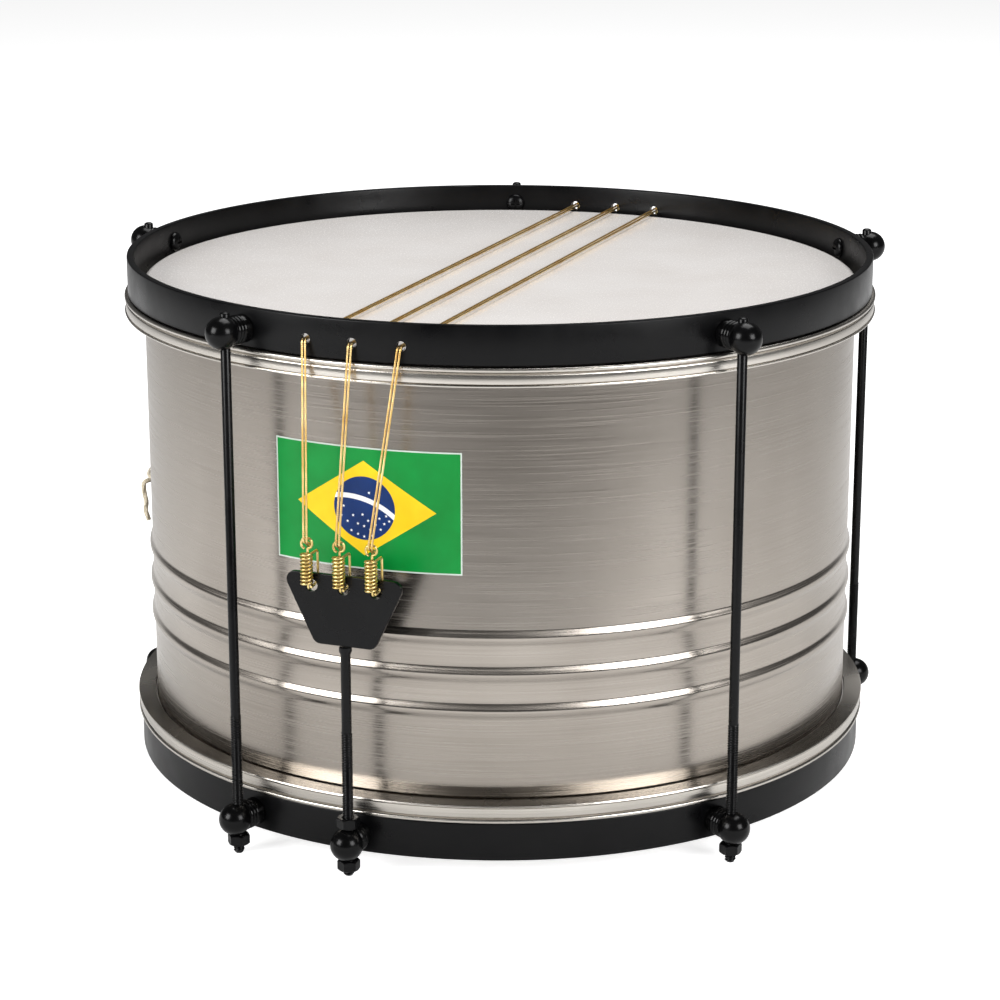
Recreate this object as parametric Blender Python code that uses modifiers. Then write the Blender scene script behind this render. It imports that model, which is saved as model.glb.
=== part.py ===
# A caixa: a shallow aluminium snare drum whose three strings cross its upper head.
# Metres, +Z up. The origin is the centre of the lower head's outer face.
# Azimuth 0 faces -Y, where the snare plate hangs, and grows towards +X.

import math

import bmesh
import bpy
from mathutils import Matrix, Vector

# Drum body
SHELL_RADIUS = 0.1524
SHELL_WALL = 0.0012
EDGE_RADIUS = 0.0024
DRUM_DEPTH = 0.1952
RIB_HEIGHTS = (0.0798, 0.0646, 0.0494)
RIB_WIDTH = 0.0070
RIB_RISE = 0.0012

# Gap that touching pieces keep, and the facets of the large rings
FIT = 0.0003
FACETS = 40

# Heads and the flesh hoops that hold them
FILM = 0.0004
COLLAR_GRIP = 0.0066
FLESH_HOOP_WIDTH = 0.0074
FLESH_HOOP_HEIGHT = 0.0076
BEAD_HEIGHT = 0.0020
GROOVE_DEPTH = 0.0011
LIP_HEIGHT = 0.0010

# Counter hoops
HOOP_INSET = 0.0015
HOOP_THICKNESS = 0.0030
HOOP_HEIGHT = 0.0158
HOOP_SEAT = 0.0050

# Ball lugs, at equal angles from the first
LUG_COUNT = 5
FIRST_LUG = math.radians(-18)
ROD_STANDOFF = 0.0100
BALL_RADIUS = 0.0066
BALL_BEYOND_ROD = 0.0018
LUG_BELOW_MIDDLE = 0.0006
NECK_RADIUS = 0.0058
NECK_GROOVE = 0.0005
NECK_GROOVE_WIDTH = 0.0016
LUG_SIDES = 10

# Lug screws
SCREW_RADIUS = 0.0020
SCREW_BITE = 0.0060
SCREW_HEAD_RADIUS = 0.0044
SCREW_HEAD_HEIGHT = 0.0022
SCREW_CROWN_RADIUS = 0.0028
SCREW_SIDES = 10

# Tension rods and the nuts of both kinds of rod
ROD_RADIUS = 0.0020
THREAD_RADIUS = 0.00225
ROD_ABOVE_BALL = 0.0015
ROD_BELOW_NUT = 0.0038
ROD_END_RADIUS = 0.0016
ROD_CHAMFER = 0.0008
TENSION_THREAD_LENGTH = 0.0586
NUT_ACROSS_FLATS = 0.0080
NUT_HEIGHT = 0.0042
ROD_SIDES = 12

# Snare plate and its rod
PLATE_TOP_WIDTH = 0.0526
PLATE_BOTTOM_WIDTH = 0.0250
PLATE_HEIGHT = 0.0285
PLATE_THICKNESS = 0.0020
PLATE_BOTTOM = 0.0789
PLATE_CORNER = 0.0035
PLATE_HOLE_RADIUS = 0.00245
PLATE_HOLE_BELOW_TOP = 0.0050
PLATE_HOLE_SPACING = 0.0135
WELD_RADIUS = 0.0027
WELD_HEIGHT = 0.0030
SNARE_THREAD_TOP = 0.0430
SNARE_ROD_SHORTER = 0.0014

# Strings and the toggles that hold their folds
STRING_COUNT = 3
STRING_SPACING = 0.0198
STRING_RADIUS = 0.00045
STRAND_OFFSET = 0.00065
STRING_ABOVE_HEAD = 0.0018
STRING_HOLE_RADIUS = 0.0021
STRING_BEND = 0.0014
STRING_TAIL = 0.0018
FOLD_SPREAD = 0.00105
TOGGLE_RADIUS = 0.0007
TOGGLE_LENGTH = 0.0090

# Ties between the strings and the plate
TIE_RADIUS = 0.0005
TIE_TURNS = 9
TIE_PITCH = 0.00145
TIE_COIL_RADIUS = 0.0021
TIE_COIL_SHIFT = 0.0006
TIE_POINTS_PER_TURN = 8
TIE_BEND = 0.0012
TIE_BELOW_HOLE = 0.0007
TIE_COIL_ABOVE_LEG = 0.00145
TIE_BACK_GAP = 0.0005
EYE_RADIUS = 0.00215
EYE_ABOVE_COIL = 0.0042
EYE_POINTS = 9
EYE_START = math.radians(-110)
EYE_SWEEP = math.radians(-340)
EYE_OVERLAP = 0.0013

# Flag on the shell; its width and its shift towards +X are measured round the shell
FLAG_WIDTH = 0.0787
FLAG_SHIFT = 0.0015
FLAG_FACETS = 5
FLAG_HEIGHT = 0.0493
FLAG_MIDDLE = 0.1301
FLAG_THICKNESS = 0.0003

# Cotton cord knotted round the last rod; its points are outwards, along the drum and up from the rod
CORD_RADIUS = 0.0012
CORD_HEIGHT = 0.0850
CORD_POINTS_PER_SPAN = 2
CORD_ROUTE = (
    (0.0058, -0.0060, 0.0034), (0.0050, -0.0030, 0.0034), (0.0040, 0.0004, 0.0030),
    (0.0018, 0.0034, 0.0026), (-0.0021, 0.0032, 0.0020), (-0.0039, 0.0000, 0.0012),
    (-0.0021, -0.0033, 0.0004), (0.0016, -0.0037, -0.0002), (0.0045, -0.0018, -0.0006),
    (0.0062, 0.0010, -0.0016), (0.0062, 0.0020, -0.0048), (0.0055, 0.0014, -0.0095),
    (0.0061, 0.0008, -0.0145), (0.0050, 0.0006, -0.0195),
)

# Radii and heights that follow from the sizes above
COLLAR_INNER = SHELL_RADIUS + FIT
COLLAR_OUTER = COLLAR_INNER + FILM
FLESH_INNER = COLLAR_OUTER + FIT
FLESH_OUTER = FLESH_INNER + FLESH_HOOP_WIDTH
HOOP_OUTER = FLESH_OUTER - HOOP_INSET
HOOP_INNER = HOOP_OUTER - HOOP_THICKNESS
ROD_CIRCLE = HOOP_OUTER + ROD_STANDOFF
LUG_HEIGHT_OUT = HOOP_HEIGHT / 2 - HOOP_SEAT
BATTER_LUG_Z = DRUM_DEPTH + LUG_HEIGHT_OUT - LUG_BELOW_MIDDLE
RESONANT_LUG_Z = -LUG_HEIGHT_OUT - LUG_BELOW_MIDDLE
NUT_TOP = RESONANT_LUG_Z - BALL_RADIUS - FIT
ROD_TIP = NUT_TOP - NUT_HEIGHT - ROD_BELOW_NUT
ROD_TOP = BATTER_LUG_Z + BALL_RADIUS + ROD_ABOVE_BALL
SNARE_ROD_TIP = ROD_TIP + SNARE_ROD_SHORTER
STRING_Z = DRUM_DEPTH + STRING_ABOVE_HEAD
FACET_ANGLE = 2 * math.pi / FACETS


def facet_radius(radius):
    """Corner radius of a faceted ring whose flats lie at this radius."""
    return radius / math.cos(FACET_ANGLE / 2)


def lug_azimuths():
    return [FIRST_LUG + 2 * math.pi * index / LUG_COUNT for index in range(LUG_COUNT)]


def string_offsets(spacing):
    return [(index - (STRING_COUNT - 1) / 2) * spacing for index in range(STRING_COUNT)]


def on_circle(azimuth, radius, height):
    return Vector((radius * math.sin(azimuth), -radius * math.cos(azimuth), height))


def outwards(azimuth):
    """Turn local Z to point out from the drum's axis at this azimuth."""
    return Matrix.Rotation(azimuth, 4, 'Z') @ Matrix.Rotation(math.pi / 2, 4, 'X')


# Scene, collections and materials

def clear_scene():
    for obj in list(bpy.data.objects):
        bpy.data.objects.remove(obj, do_unlink=True)


def new_collection(name):
    collection = bpy.data.collections.new(name)
    bpy.context.scene.collection.children.link(collection)
    return collection


def new_material(name, colour, roughness, metallic):
    material = bpy.data.materials.new(name)
    material.use_nodes = True
    shader = material.node_tree.nodes["Principled BSDF"]
    shader.inputs["Base Color"].default_value = (*colour, 1.0)
    shader.inputs["Roughness"].default_value = roughness
    shader.inputs["Metallic"].default_value = metallic
    return material


clear_scene()
PARTS = new_collection("caixa")
CUTTERS = new_collection("caixa_cutters")
ALUMINIUM = new_material("brushed_aluminium", (0.62, 0.59, 0.55), 0.35, 1.0)
BLACK_STEEL = new_material("black_painted_steel", (0.02, 0.02, 0.02), 0.35, 0.0)
WHITE_FILM = new_material("white_head_film", (0.78, 0.75, 0.73), 0.25, 0.0)
BRONZE_WIRE = new_material("bronze_wound_string", (0.62, 0.45, 0.20), 0.35, 1.0)
GREEN_VINYL = new_material("printed_vinyl", (0.0, 0.30, 0.06), 0.35, 0.0)
COTTON = new_material("cotton_cord", (0.72, 0.66, 0.55), 0.9, 0.0)


# Builders

def finish(obj, material, sharp=math.radians(35)):
    """Give a piece its material and smooth shading that stops at sharp edges."""
    obj.data.materials.clear()
    obj.data.materials.append(material)
    if obj.type == 'MESH':
        obj.data.shade_smooth()
        obj.data.set_sharp_from_angle(angle=sharp)


def turned(name, profile, steps, closed=False, sweep=2 * math.pi):
    """Turn a profile of (radius, height) pairs about Z; it runs down its outer side."""
    mesh = bpy.data.meshes.new(name)
    shape = bmesh.new()
    points = [shape.verts.new((radius, 0.0, height)) for radius, height in profile]
    for first, second in zip(points, points[1:]):
        shape.edges.new((first, second))
    if closed:
        shape.edges.new((points[-1], points[0]))
    shape.to_mesh(mesh)
    shape.free()
    obj = bpy.data.objects.new(name, mesh)
    PARTS.objects.link(obj)
    screw = obj.modifiers.new("turn", 'SCREW')
    screw.axis = 'Z'
    screw.angle = sweep
    screw.steps = steps
    screw.render_steps = steps
    screw.use_merge_vertices = True
    screw.merge_threshold = 0.00001
    return obj


def ring(name, profile, closed=True):
    """A large turned ring whose flats face the lugs."""
    obj = turned(name, [(facet_radius(r), z) for r, z in profile], FACETS, closed)
    obj.rotation_euler = (0.0, 0.0, FACET_ANGLE / 2)
    return obj


def baked(obj):
    """The evaluated mesh of an object, which is removed."""
    bpy.context.view_layer.update()
    evaluated = obj.evaluated_get(bpy.context.evaluated_depsgraph_get())
    mesh = bpy.data.meshes.new_from_object(evaluated)
    bpy.data.objects.remove(obj, do_unlink=True)
    return mesh


def placed(name, mesh, location, rotation=(0.0, 0.0, 0.0), parent=None):
    obj = bpy.data.objects.new(name, mesh)
    PARTS.objects.link(obj)
    obj.location = location
    obj.rotation_euler = rotation
    obj.parent = parent
    return obj


def cylinder_cutter(name, cylinders, sides):
    """A cutter made of cylinders, each given as (matrix, radius, length)."""
    mesh = bpy.data.meshes.new(name)
    shape = bmesh.new()
    for matrix, radius, length in cylinders:
        bmesh.ops.create_cone(shape, cap_ends=True, segments=sides, radius1=radius, radius2=radius,
                              depth=length, matrix=matrix)
    shape.to_mesh(mesh)
    shape.free()
    obj = bpy.data.objects.new(name, mesh)
    CUTTERS.objects.link(obj)
    obj.hide_render = True
    obj.display_type = 'WIRE'
    return obj


def cut(obj, cutter):
    boolean = obj.modifiers.new("cut", 'BOOLEAN')
    boolean.operation = 'DIFFERENCE'
    boolean.solver = 'EXACT'
    boolean.object = cutter


def tube(name, points, radius, resolution, parent=None):
    """A round wire along a list of points."""
    curve = bpy.data.curves.new(name, 'CURVE')
    curve.dimensions = '3D'
    curve.bevel_depth = radius
    curve.bevel_resolution = resolution
    curve.use_fill_caps = True
    spline = curve.splines.new('POLY')
    spline.points.add(len(points) - 1)
    for target, point in zip(spline.points, points):
        target.co = (*point, 1.0)
    return placed(name, curve, (0.0, 0.0, 0.0), parent=parent)


def empty(name, location):
    obj = bpy.data.objects.new(name, None)
    PARTS.objects.link(obj)
    obj.location = location
    return obj


# Curves and profiles

def arc(centre, radius, start, end, steps):
    """Points of an arc in a plane, with its angles in degrees."""
    angles = [math.radians(start + (end - start) * step / steps) for step in range(steps + 1)]
    return [(centre[0] + radius * math.cos(a), centre[1] + radius * math.sin(a)) for a in angles]


def bent(route, radius, steps=3):
    """A route of straight runs whose corners are rounded to a radius."""
    points = [Vector(route[0])]
    for before, corner, after in zip(route, route[1:], route[2:]):
        corner = Vector(corner)
        arriving = (corner - Vector(before)).normalized()
        leaving = (Vector(after) - corner).normalized()
        turn = arriving.angle(leaving)
        if turn < math.radians(2):
            points.append(corner)
            continue
        reach = radius * math.tan(turn / 2)
        start = corner - arriving * reach
        centre_way = (leaving - arriving).normalized()
        centre = corner + centre_way * (radius / math.cos(turn / 2))
        axis = arriving.cross(leaving).normalized()
        for step in range(steps + 1):
            swing = Matrix.Rotation(turn * step / steps, 3, axis)
            points.append(centre + swing @ (start - centre))
    points.append(Vector(route[-1]))
    return points


def smooth(route, per_span):
    """A Catmull-Rom curve through a route's own points."""
    knots = [Vector(point) for point in route]
    knots = [2 * knots[0] - knots[1]] + knots + [2 * knots[-1] - knots[-2]]
    points = []
    for p0, p1, p2, p3 in zip(knots, knots[1:], knots[2:], knots[3:]):
        for step in range(per_span):
            t = step / per_span
            points.append(0.5 * (2 * p1 + (p2 - p0) * t + (2 * p0 - 5 * p1 + 4 * p2 - p3) * t * t
                                 + (3 * p1 - p0 - 3 * p2 + p3) * t * t * t))
    points.append(knots[-2])
    return points


def facing(side, face, profile):
    """Place a profile of (radius, height out from a head's face) on the upper or lower head."""
    placed_profile = [(radius, face + side * height) for radius, height in profile]
    return placed_profile if side > 0 else placed_profile[::-1]


# Shell and heads

def shell_side(inset, ribs):
    """One side of the shell's wall, from the upper bearing edge to the lower."""
    top = DRUM_DEPTH - FILM - FIT
    bottom = FILM + FIT
    centre_radius = SHELL_RADIUS - EDGE_RADIUS
    edge = EDGE_RADIUS - inset
    wall = SHELL_RADIUS - inset
    points = arc((centre_radius, top - EDGE_RADIUS), edge, 90, 0, 1)
    for height in ribs:
        points.append((wall, height + RIB_WIDTH / 2))
        points.append((wall + RIB_RISE, height + RIB_WIDTH / 6))
        points.append((wall + RIB_RISE, height - RIB_WIDTH / 6))
        points.append((wall, height - RIB_WIDTH / 2))
    return points + arc((centre_radius, bottom + EDGE_RADIUS), edge, 0, -90, 1)


def make_shell():
    shell = ring("shell", shell_side(0.0, RIB_HEIGHTS) + shell_side(SHELL_WALL, ())[::-1])
    finish(shell, ALUMINIUM)


def make_head(name, side, face):
    """A film with a rounded shoulder and a collar that reaches into its flesh hoop."""
    shoulder = EDGE_RADIUS + FIT + FILM
    centre = (SHELL_RADIUS - EDGE_RADIUS, -shoulder)
    collar_end = -(HOOP_SEAT + COLLAR_GRIP)
    profile = [(0.0, 0.0)] + arc(centre, shoulder, 90, 0, 2)
    profile += [(COLLAR_OUTER, collar_end), (COLLAR_INNER, collar_end)]
    profile += arc(centre, shoulder - FILM, 0, 90, 2) + [(0.0, -FILM)]
    film = ring(name, facing(side, face, profile), closed=False)
    finish(film, WHITE_FILM)


# Flesh hoops and counter hoops

def make_flesh_hoop(name, side, face):
    """A channelled aluminium ring: a bead under the counter hoop, a groove, a band and a lip."""
    top = -(HOOP_SEAT + FIT)
    bottom = top - FLESH_HOOP_HEIGHT
    groove = FLESH_OUTER - GROOVE_DEPTH
    bead_end = top - BEAD_HEIGHT
    lip_top = bottom + LIP_HEIGHT
    profile = [
        (FLESH_INNER, top),
        (FLESH_OUTER, top),
        (FLESH_OUTER, bead_end),
        (groove, bead_end - BEAD_HEIGHT / 4),
        (FLESH_OUTER - GROOVE_DEPTH / 2, bead_end - BEAD_HEIGHT / 2),
        (FLESH_OUTER - GROOVE_DEPTH / 2, lip_top),
        (FLESH_OUTER, bottom),
        (FLESH_INNER, bottom),
    ]
    hoop = ring(name, facing(side, face, profile))
    finish(hoop, ALUMINIUM)


def lug_screw_cylinders(azimuths, height):
    """Clearance holes for the lug screws, through a counter hoop's wall."""
    middle = (HOOP_INNER + HOOP_OUTER) / 2
    return [(Matrix.Translation(on_circle(azimuth, middle, height)) @ outwards(azimuth),
             SCREW_RADIUS + FIT, 3 * HOOP_THICKNESS) for azimuth in azimuths]


def string_cylinders():
    """Holes for the strings, bored straight across the batter hoop from front to rear."""
    along_y = Matrix.Rotation(math.pi / 2, 4, 'X')
    return [(Matrix.Translation((x, 0.0, STRING_Z)) @ along_y, STRING_HOLE_RADIUS, 3 * HOOP_OUTER)
            for x in string_offsets(STRING_SPACING)]


def make_counter_hoop(name, side, face, cylinders, parent=None):
    """A flat bar rolled into a ring, which presses on the flesh hoop."""
    top = HOOP_HEIGHT - HOOP_SEAT
    profile = [(HOOP_INNER, top), (HOOP_OUTER, top), (HOOP_OUTER, -HOOP_SEAT), (HOOP_INNER, -HOOP_SEAT)]
    hoop = ring(name, facing(side, face, profile))
    hoop.parent = parent
    cut(hoop, cylinder_cutter(name + "_holes", cylinders, ROD_SIDES))
    finish(hoop, BLACK_STEEL)


# Lugs and their screws

def lug_mesh(hole_radius):
    """A ball on a turned neck; local Z points out of the hoop, local Y along the rod."""
    centre = ROD_STANDOFF - FIT + BALL_BEYOND_ROD
    join = math.degrees(math.asin(NECK_RADIUS / BALL_RADIUS))
    join_z = centre - BALL_RADIUS * math.cos(math.radians(join))
    groove_radius = NECK_RADIUS - NECK_GROOVE
    hole_depth = SCREW_BITE + FIT
    screw_hole = SCREW_RADIUS + FIT
    profile = [(BALL_RADIUS * math.sin(a), centre + BALL_RADIUS * math.cos(a))
               for a in [math.radians(step * (180 - join) / 4) for step in range(5)]]
    profile += [(groove_radius, join_z - NECK_GROOVE_WIDTH / 2), (NECK_RADIUS, join_z - NECK_GROOVE_WIDTH),
                (NECK_RADIUS, 0.0), (screw_hole, 0.0), (screw_hole, hole_depth), (0.0, hole_depth)]
    lug = turned("lug", profile, LUG_SIDES)
    rod_place = Matrix.Translation((0.0, 0.0, ROD_STANDOFF - FIT)) @ Matrix.Rotation(math.pi / 2, 4, 'X')
    cut(lug, cylinder_cutter("rod_hole", [(rod_place, hole_radius, 3 * BALL_RADIUS)], ROD_SIDES))
    return baked(lug)


def screw_mesh():
    """A round-headed screw; local Z points out of the hoop, from the head inside to the tip in the lug."""
    seat = -(HOOP_THICKNESS + 2 * FIT)
    head_end = seat - SCREW_HEAD_HEIGHT
    profile = [
        (0.0, SCREW_BITE),
        (SCREW_RADIUS, SCREW_BITE),
        (SCREW_RADIUS, seat),
        (SCREW_HEAD_RADIUS, seat),
        (SCREW_HEAD_RADIUS, seat - SCREW_HEAD_HEIGHT / 3),
        (SCREW_CROWN_RADIUS, head_end),
        (0.0, head_end),
    ]
    return baked(turned("screw", profile, SCREW_SIDES))


def make_lugs(prefix, height, lug, screw, parent=None):
    for number, azimuth in enumerate(lug_azimuths(), start=1):
        place_lug(f"{prefix}_lug_{number}", azimuth, height, lug, parent)
        place_lug(f"{prefix}_lug_screw_{number}", azimuth, height, screw, parent)


def place_lug(name, azimuth, height, mesh, parent):
    location = on_circle(azimuth, HOOP_OUTER + FIT, height)
    piece = placed(name, mesh, location, (math.pi / 2, 0.0, azimuth), parent)
    finish(piece, BLACK_STEEL)


# Rods and nuts

def rod_profile(top, thread_top, tip):
    return [
        (0.0, top),
        (ROD_END_RADIUS, top),
        (ROD_RADIUS, top - ROD_CHAMFER),
        (ROD_RADIUS, thread_top),
        (THREAD_RADIUS, thread_top - ROD_CHAMFER),
        (THREAD_RADIUS, tip + ROD_CHAMFER),
        (ROD_END_RADIUS, tip),
        (0.0, tip),
    ]


def make_tension_rods():
    thread_top = ROD_TIP + TENSION_THREAD_LENGTH
    for number, azimuth in enumerate(lug_azimuths(), start=1):
        rod = turned(f"tension_rod_{number}", rod_profile(ROD_TOP, thread_top, ROD_TIP), ROD_SIDES)
        rod.location = on_circle(azimuth, ROD_CIRCLE, 0.0)
        rod.rotation_euler = (0.0, 0.0, azimuth)
        finish(rod, BLACK_STEEL)


def nut_mesh():
    """A hexagonal nut, its origin on its axis at its lower face."""
    mesh = bpy.data.meshes.new("nut")
    shape = bmesh.new()
    corner = NUT_ACROSS_FLATS / 2 / math.cos(math.pi / 6)
    middle = Matrix.Translation((0.0, 0.0, NUT_HEIGHT / 2))
    bmesh.ops.create_cone(shape, cap_ends=True, segments=6, radius1=corner, radius2=corner,
                          depth=NUT_HEIGHT, matrix=middle)
    shape.to_mesh(mesh)
    shape.free()
    nut = placed("nut", mesh, (0.0, 0.0, 0.0))
    cut(nut, cylinder_cutter("nut_bore", [(middle, THREAD_RADIUS + FIT, 3 * NUT_HEIGHT)], ROD_SIDES))
    return baked(nut)


def make_nuts(parent):
    nut = nut_mesh()
    for number, azimuth in enumerate(lug_azimuths(), start=1):
        piece = placed(f"tension_nut_{number}", nut, on_circle(azimuth, ROD_CIRCLE, NUT_TOP - NUT_HEIGHT),
                       (0.0, 0.0, azimuth), parent)
        finish(piece, BLACK_STEEL)
    above = RESONANT_LUG_Z + BALL_RADIUS + FIT
    for name, height in (("snare_nut_upper", above), ("snare_nut_lower", NUT_TOP - NUT_HEIGHT)):
        piece = placed(name, nut, on_circle(0.0, ROD_CIRCLE, height), parent=parent)
        finish(piece, BLACK_STEEL)


# Snare plate and rod, whose parent stands on the snare rod's axis

def plate_outline():
    """The tapered plate's outline, clockwise from its upper left corner, its corners rounded."""
    top = PLATE_BOTTOM + PLATE_HEIGHT
    corners = [(-PLATE_TOP_WIDTH / 2, top), (PLATE_TOP_WIDTH / 2, top),
               (PLATE_BOTTOM_WIDTH / 2, PLATE_BOTTOM), (-PLATE_BOTTOM_WIDTH / 2, PLATE_BOTTOM)]
    start = ((corners[0][0] + corners[1][0]) / 2, top)
    route = [(x, z, 0.0) for x, z in [start] + corners[1:] + corners[:1] + [start]]
    return bent(route, PLATE_CORNER)[:-1]


def plate_holes():
    height = PLATE_BOTTOM + PLATE_HEIGHT - PLATE_HOLE_BELOW_TOP
    return [(x, height) for x in string_offsets(PLATE_HOLE_SPACING)]


def make_plate(parent):
    curve = bpy.data.curves.new("snare_plate", 'CURVE')
    curve.dimensions = '2D'
    curve.fill_mode = 'BOTH'
    curve.extrude = PLATE_THICKNESS / 2
    outlines = [[(point[0], point[1]) for point in plate_outline()]]
    outlines += [arc(centre, PLATE_HOLE_RADIUS, 0, 360, 16)[:-1] for centre in plate_holes()]
    for outline in outlines:
        spline = curve.splines.new('POLY')
        spline.points.add(len(outline) - 1)
        spline.use_cyclic_u = True
        for target, (x, z) in zip(spline.points, outline):
            target.co = (x, z, 0.0, 1.0)
    plate = placed("snare_plate", curve, (0.0, 0.0, 0.0), (math.pi / 2, 0.0, 0.0), parent)
    finish(plate, BLACK_STEEL)


def make_snare_rod(parent):
    """The rod under the plate: a weld collar, a plain shank and a thread."""
    top = PLATE_BOTTOM - FIT
    profile = rod_profile(top, SNARE_THREAD_TOP, SNARE_ROD_TIP)
    profile[1:3] = [(WELD_RADIUS, top), (WELD_RADIUS, top - WELD_HEIGHT / 2), (ROD_RADIUS, top - WELD_HEIGHT)]
    rod = turned("snare_rod", profile, ROD_SIDES)
    rod.parent = parent
    finish(rod, BLACK_STEEL)


# Ties: an eye, a leg through the plate's hole, and a wrap of turns round the leg

def tie_front():
    """Distance in front of the rod at which the ties stand."""
    return PLATE_THICKNESS / 2 + FIT + TIE_COIL_RADIUS + TIE_RADIUS


def tie_leg_z():
    return PLATE_BOTTOM + PLATE_HEIGHT - PLATE_HOLE_BELOW_TOP - TIE_BELOW_HOLE


def tie_coil_top():
    return tie_leg_z() + TIE_COIL_ABOVE_LEG + TIE_TURNS * TIE_PITCH


def eye_z():
    return tie_coil_top() + EYE_ABOVE_COIL


def tie_points(x):
    """One unbroken wire, in the snare rod's frame; Y is negative in front."""
    front = -tie_front()
    back = PLATE_THICKNESS / 2 + TIE_BACK_GAP + TIE_RADIUS
    coil_x = x - TIE_COIL_SHIFT
    rise_x = coil_x + TIE_COIL_RADIUS
    points = []
    for step in range(EYE_POINTS):
        share = step / EYE_POINTS
        angle = EYE_START + EYE_SWEEP * share
        points.append(Vector((x + EYE_RADIUS * math.cos(angle), front - EYE_OVERLAP * (1 - share),
                              eye_z() + EYE_RADIUS * math.sin(angle))))
    leg = [(x, front, eye_z() - EYE_RADIUS), (x, front, tie_leg_z()), (x, back, tie_leg_z()),
           (rise_x, back, tie_leg_z() + 3 * TIE_BEND), (rise_x, back, tie_coil_top()),
           (rise_x, front, tie_coil_top())]
    points += bent(leg, TIE_BEND, steps=2)
    for step in range(1, TIE_TURNS * TIE_POINTS_PER_TURN + 1):
        turns = step / TIE_POINTS_PER_TURN
        angle = 2 * math.pi * turns
        points.append(Vector((coil_x + TIE_COIL_RADIUS * math.cos(angle),
                              front - TIE_COIL_RADIUS * math.sin(angle),
                              tie_coil_top() - TIE_PITCH * turns)))
    with_tail = straight_end(points)
    return straight_end(with_tail[::-1])[::-1]


def straight_end(points):
    """Run a wire on straight for one diameter past its last point."""
    way = (points[-1] - points[-2]).normalized()
    return points + [points[-1] + way * 2 * TIE_RADIUS]


def least_own_gap(points, radius):
    """Least gap between stretches of a wire that lie more than three diameters apart along it."""
    along = [0.0]
    for first, second in zip(points, points[1:]):
        along.append(along[-1] + (second - first).length)
    reach = 6 * radius
    gaps = [(points[i] - points[j]).length for i in range(len(points)) for j in range(i)
            if along[i] - along[j] > reach]
    return min(gaps) - 2 * radius


def make_ties(parent):
    for number, x in enumerate(string_offsets(PLATE_HOLE_SPACING), start=1):
        points = tie_points(x)
        tie = tube(f"snare_tie_{number}", points, TIE_RADIUS, 1, parent)
        finish(tie, BRONZE_WIRE)
    print("least gap of a tie to itself, mm:", round(least_own_gap(points, TIE_RADIUS) * 1000, 3))


# Strings: each is folded round a toggle behind the rear hole

def hoop_depth(x):
    """How far the batter hoop's outer face lies from the middle, in line with a string."""
    return math.sqrt(facet_radius(HOOP_OUTER) ** 2 - x ** 2)


def strand(hole_x, eye_x, side):
    """One strand, from behind the tie's eye, through it and over the head to the rear hole."""
    eye_y = -(ROD_CIRCLE + tie_front())
    front_y = eye_y - EYE_OVERLAP / 2 - TIE_RADIUS - 2 * FIT - STRING_RADIUS
    drop_y = -(hoop_depth(hole_x) + 2 * FIT + STRING_RADIUS)
    low_x = eye_x + side * STRAND_OFFSET
    high_x = hole_x + side * STRAND_OFFSET
    fold_x = hole_x + side * FOLD_SPREAD
    route = [
        (low_x, eye_y + STRING_TAIL, eye_z() - STRING_TAIL),
        (low_x, eye_y, eye_z()),
        (low_x, front_y, eye_z() + EYE_RADIUS / 3),
        (high_x, drop_y, STRING_Z),
        (fold_x, hoop_depth(hole_x), STRING_Z),
    ]
    return bent(route, STRING_BEND)


def string_points(hole_x, eye_x):
    toggle_y = hoop_depth(hole_x) + FIT + TOGGLE_RADIUS
    fold = TOGGLE_RADIUS + FIT + STRING_RADIUS
    turn = [Vector((hole_x - fold * math.cos(math.radians(angle)),
                    toggle_y + fold * math.sin(math.radians(angle)), STRING_Z))
            for angle in range(0, 181, 45)]
    return strand(hole_x, eye_x, -1) + turn + strand(hole_x, eye_x, 1)[::-1]


def make_strings():
    holes = string_offsets(STRING_SPACING)
    eyes = string_offsets(PLATE_HOLE_SPACING)
    for number, (hole_x, eye_x) in enumerate(zip(holes, eyes), start=1):
        piece = tube(f"snare_string_{number}", string_points(hole_x, eye_x), STRING_RADIUS, 2)
        finish(piece, BRONZE_WIRE)


def make_toggles():
    """Short pins behind the rear holes, one through each string's fold."""
    top = TOGGLE_LENGTH / 2
    profile = [(0.0, top), (TOGGLE_RADIUS, top), (TOGGLE_RADIUS, -top), (0.0, -top)]
    for number, x in enumerate(string_offsets(STRING_SPACING), start=1):
        toggle = turned(f"string_toggle_{number}", profile, ROD_SIDES)
        toggle.location = (x, hoop_depth(x) + FIT + TOGGLE_RADIUS, STRING_Z)
        finish(toggle, BRONZE_WIRE)


# Decal and cord

def make_flag():
    """A thin vinyl panel on the shell's front, clear of the shell's corners."""
    inner = facet_radius(SHELL_RADIUS) + FIT
    outer = inner + FLAG_THICKNESS
    top = FLAG_MIDDLE + FLAG_HEIGHT / 2
    bottom = FLAG_MIDDLE - FLAG_HEIGHT / 2
    sweep = FLAG_WIDTH / SHELL_RADIUS
    corner = 1 / math.cos(sweep / FLAG_FACETS / 2)
    profile = [(outer * corner, top), (outer * corner, bottom), (inner * corner, bottom), (inner * corner, top)]
    flag = turned("flag_decal", profile, FLAG_FACETS, closed=True, sweep=sweep)
    flag.rotation_euler = (0.0, 0.0, -math.pi / 2 - sweep / 2 + FLAG_SHIFT / SHELL_RADIUS)
    close_ends(flag)
    finish(flag, GREEN_VINYL)


def close_ends(obj):
    """Fill the two open ends of a part-turned band."""
    mesh = baked_in_place(obj)
    shape = bmesh.new()
    shape.from_mesh(mesh)
    open_edges = [edge for edge in shape.edges if edge.is_boundary]
    bmesh.ops.holes_fill(shape, edges=open_edges)
    bmesh.ops.recalc_face_normals(shape, faces=shape.faces)
    shape.to_mesh(mesh)
    shape.free()


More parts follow.
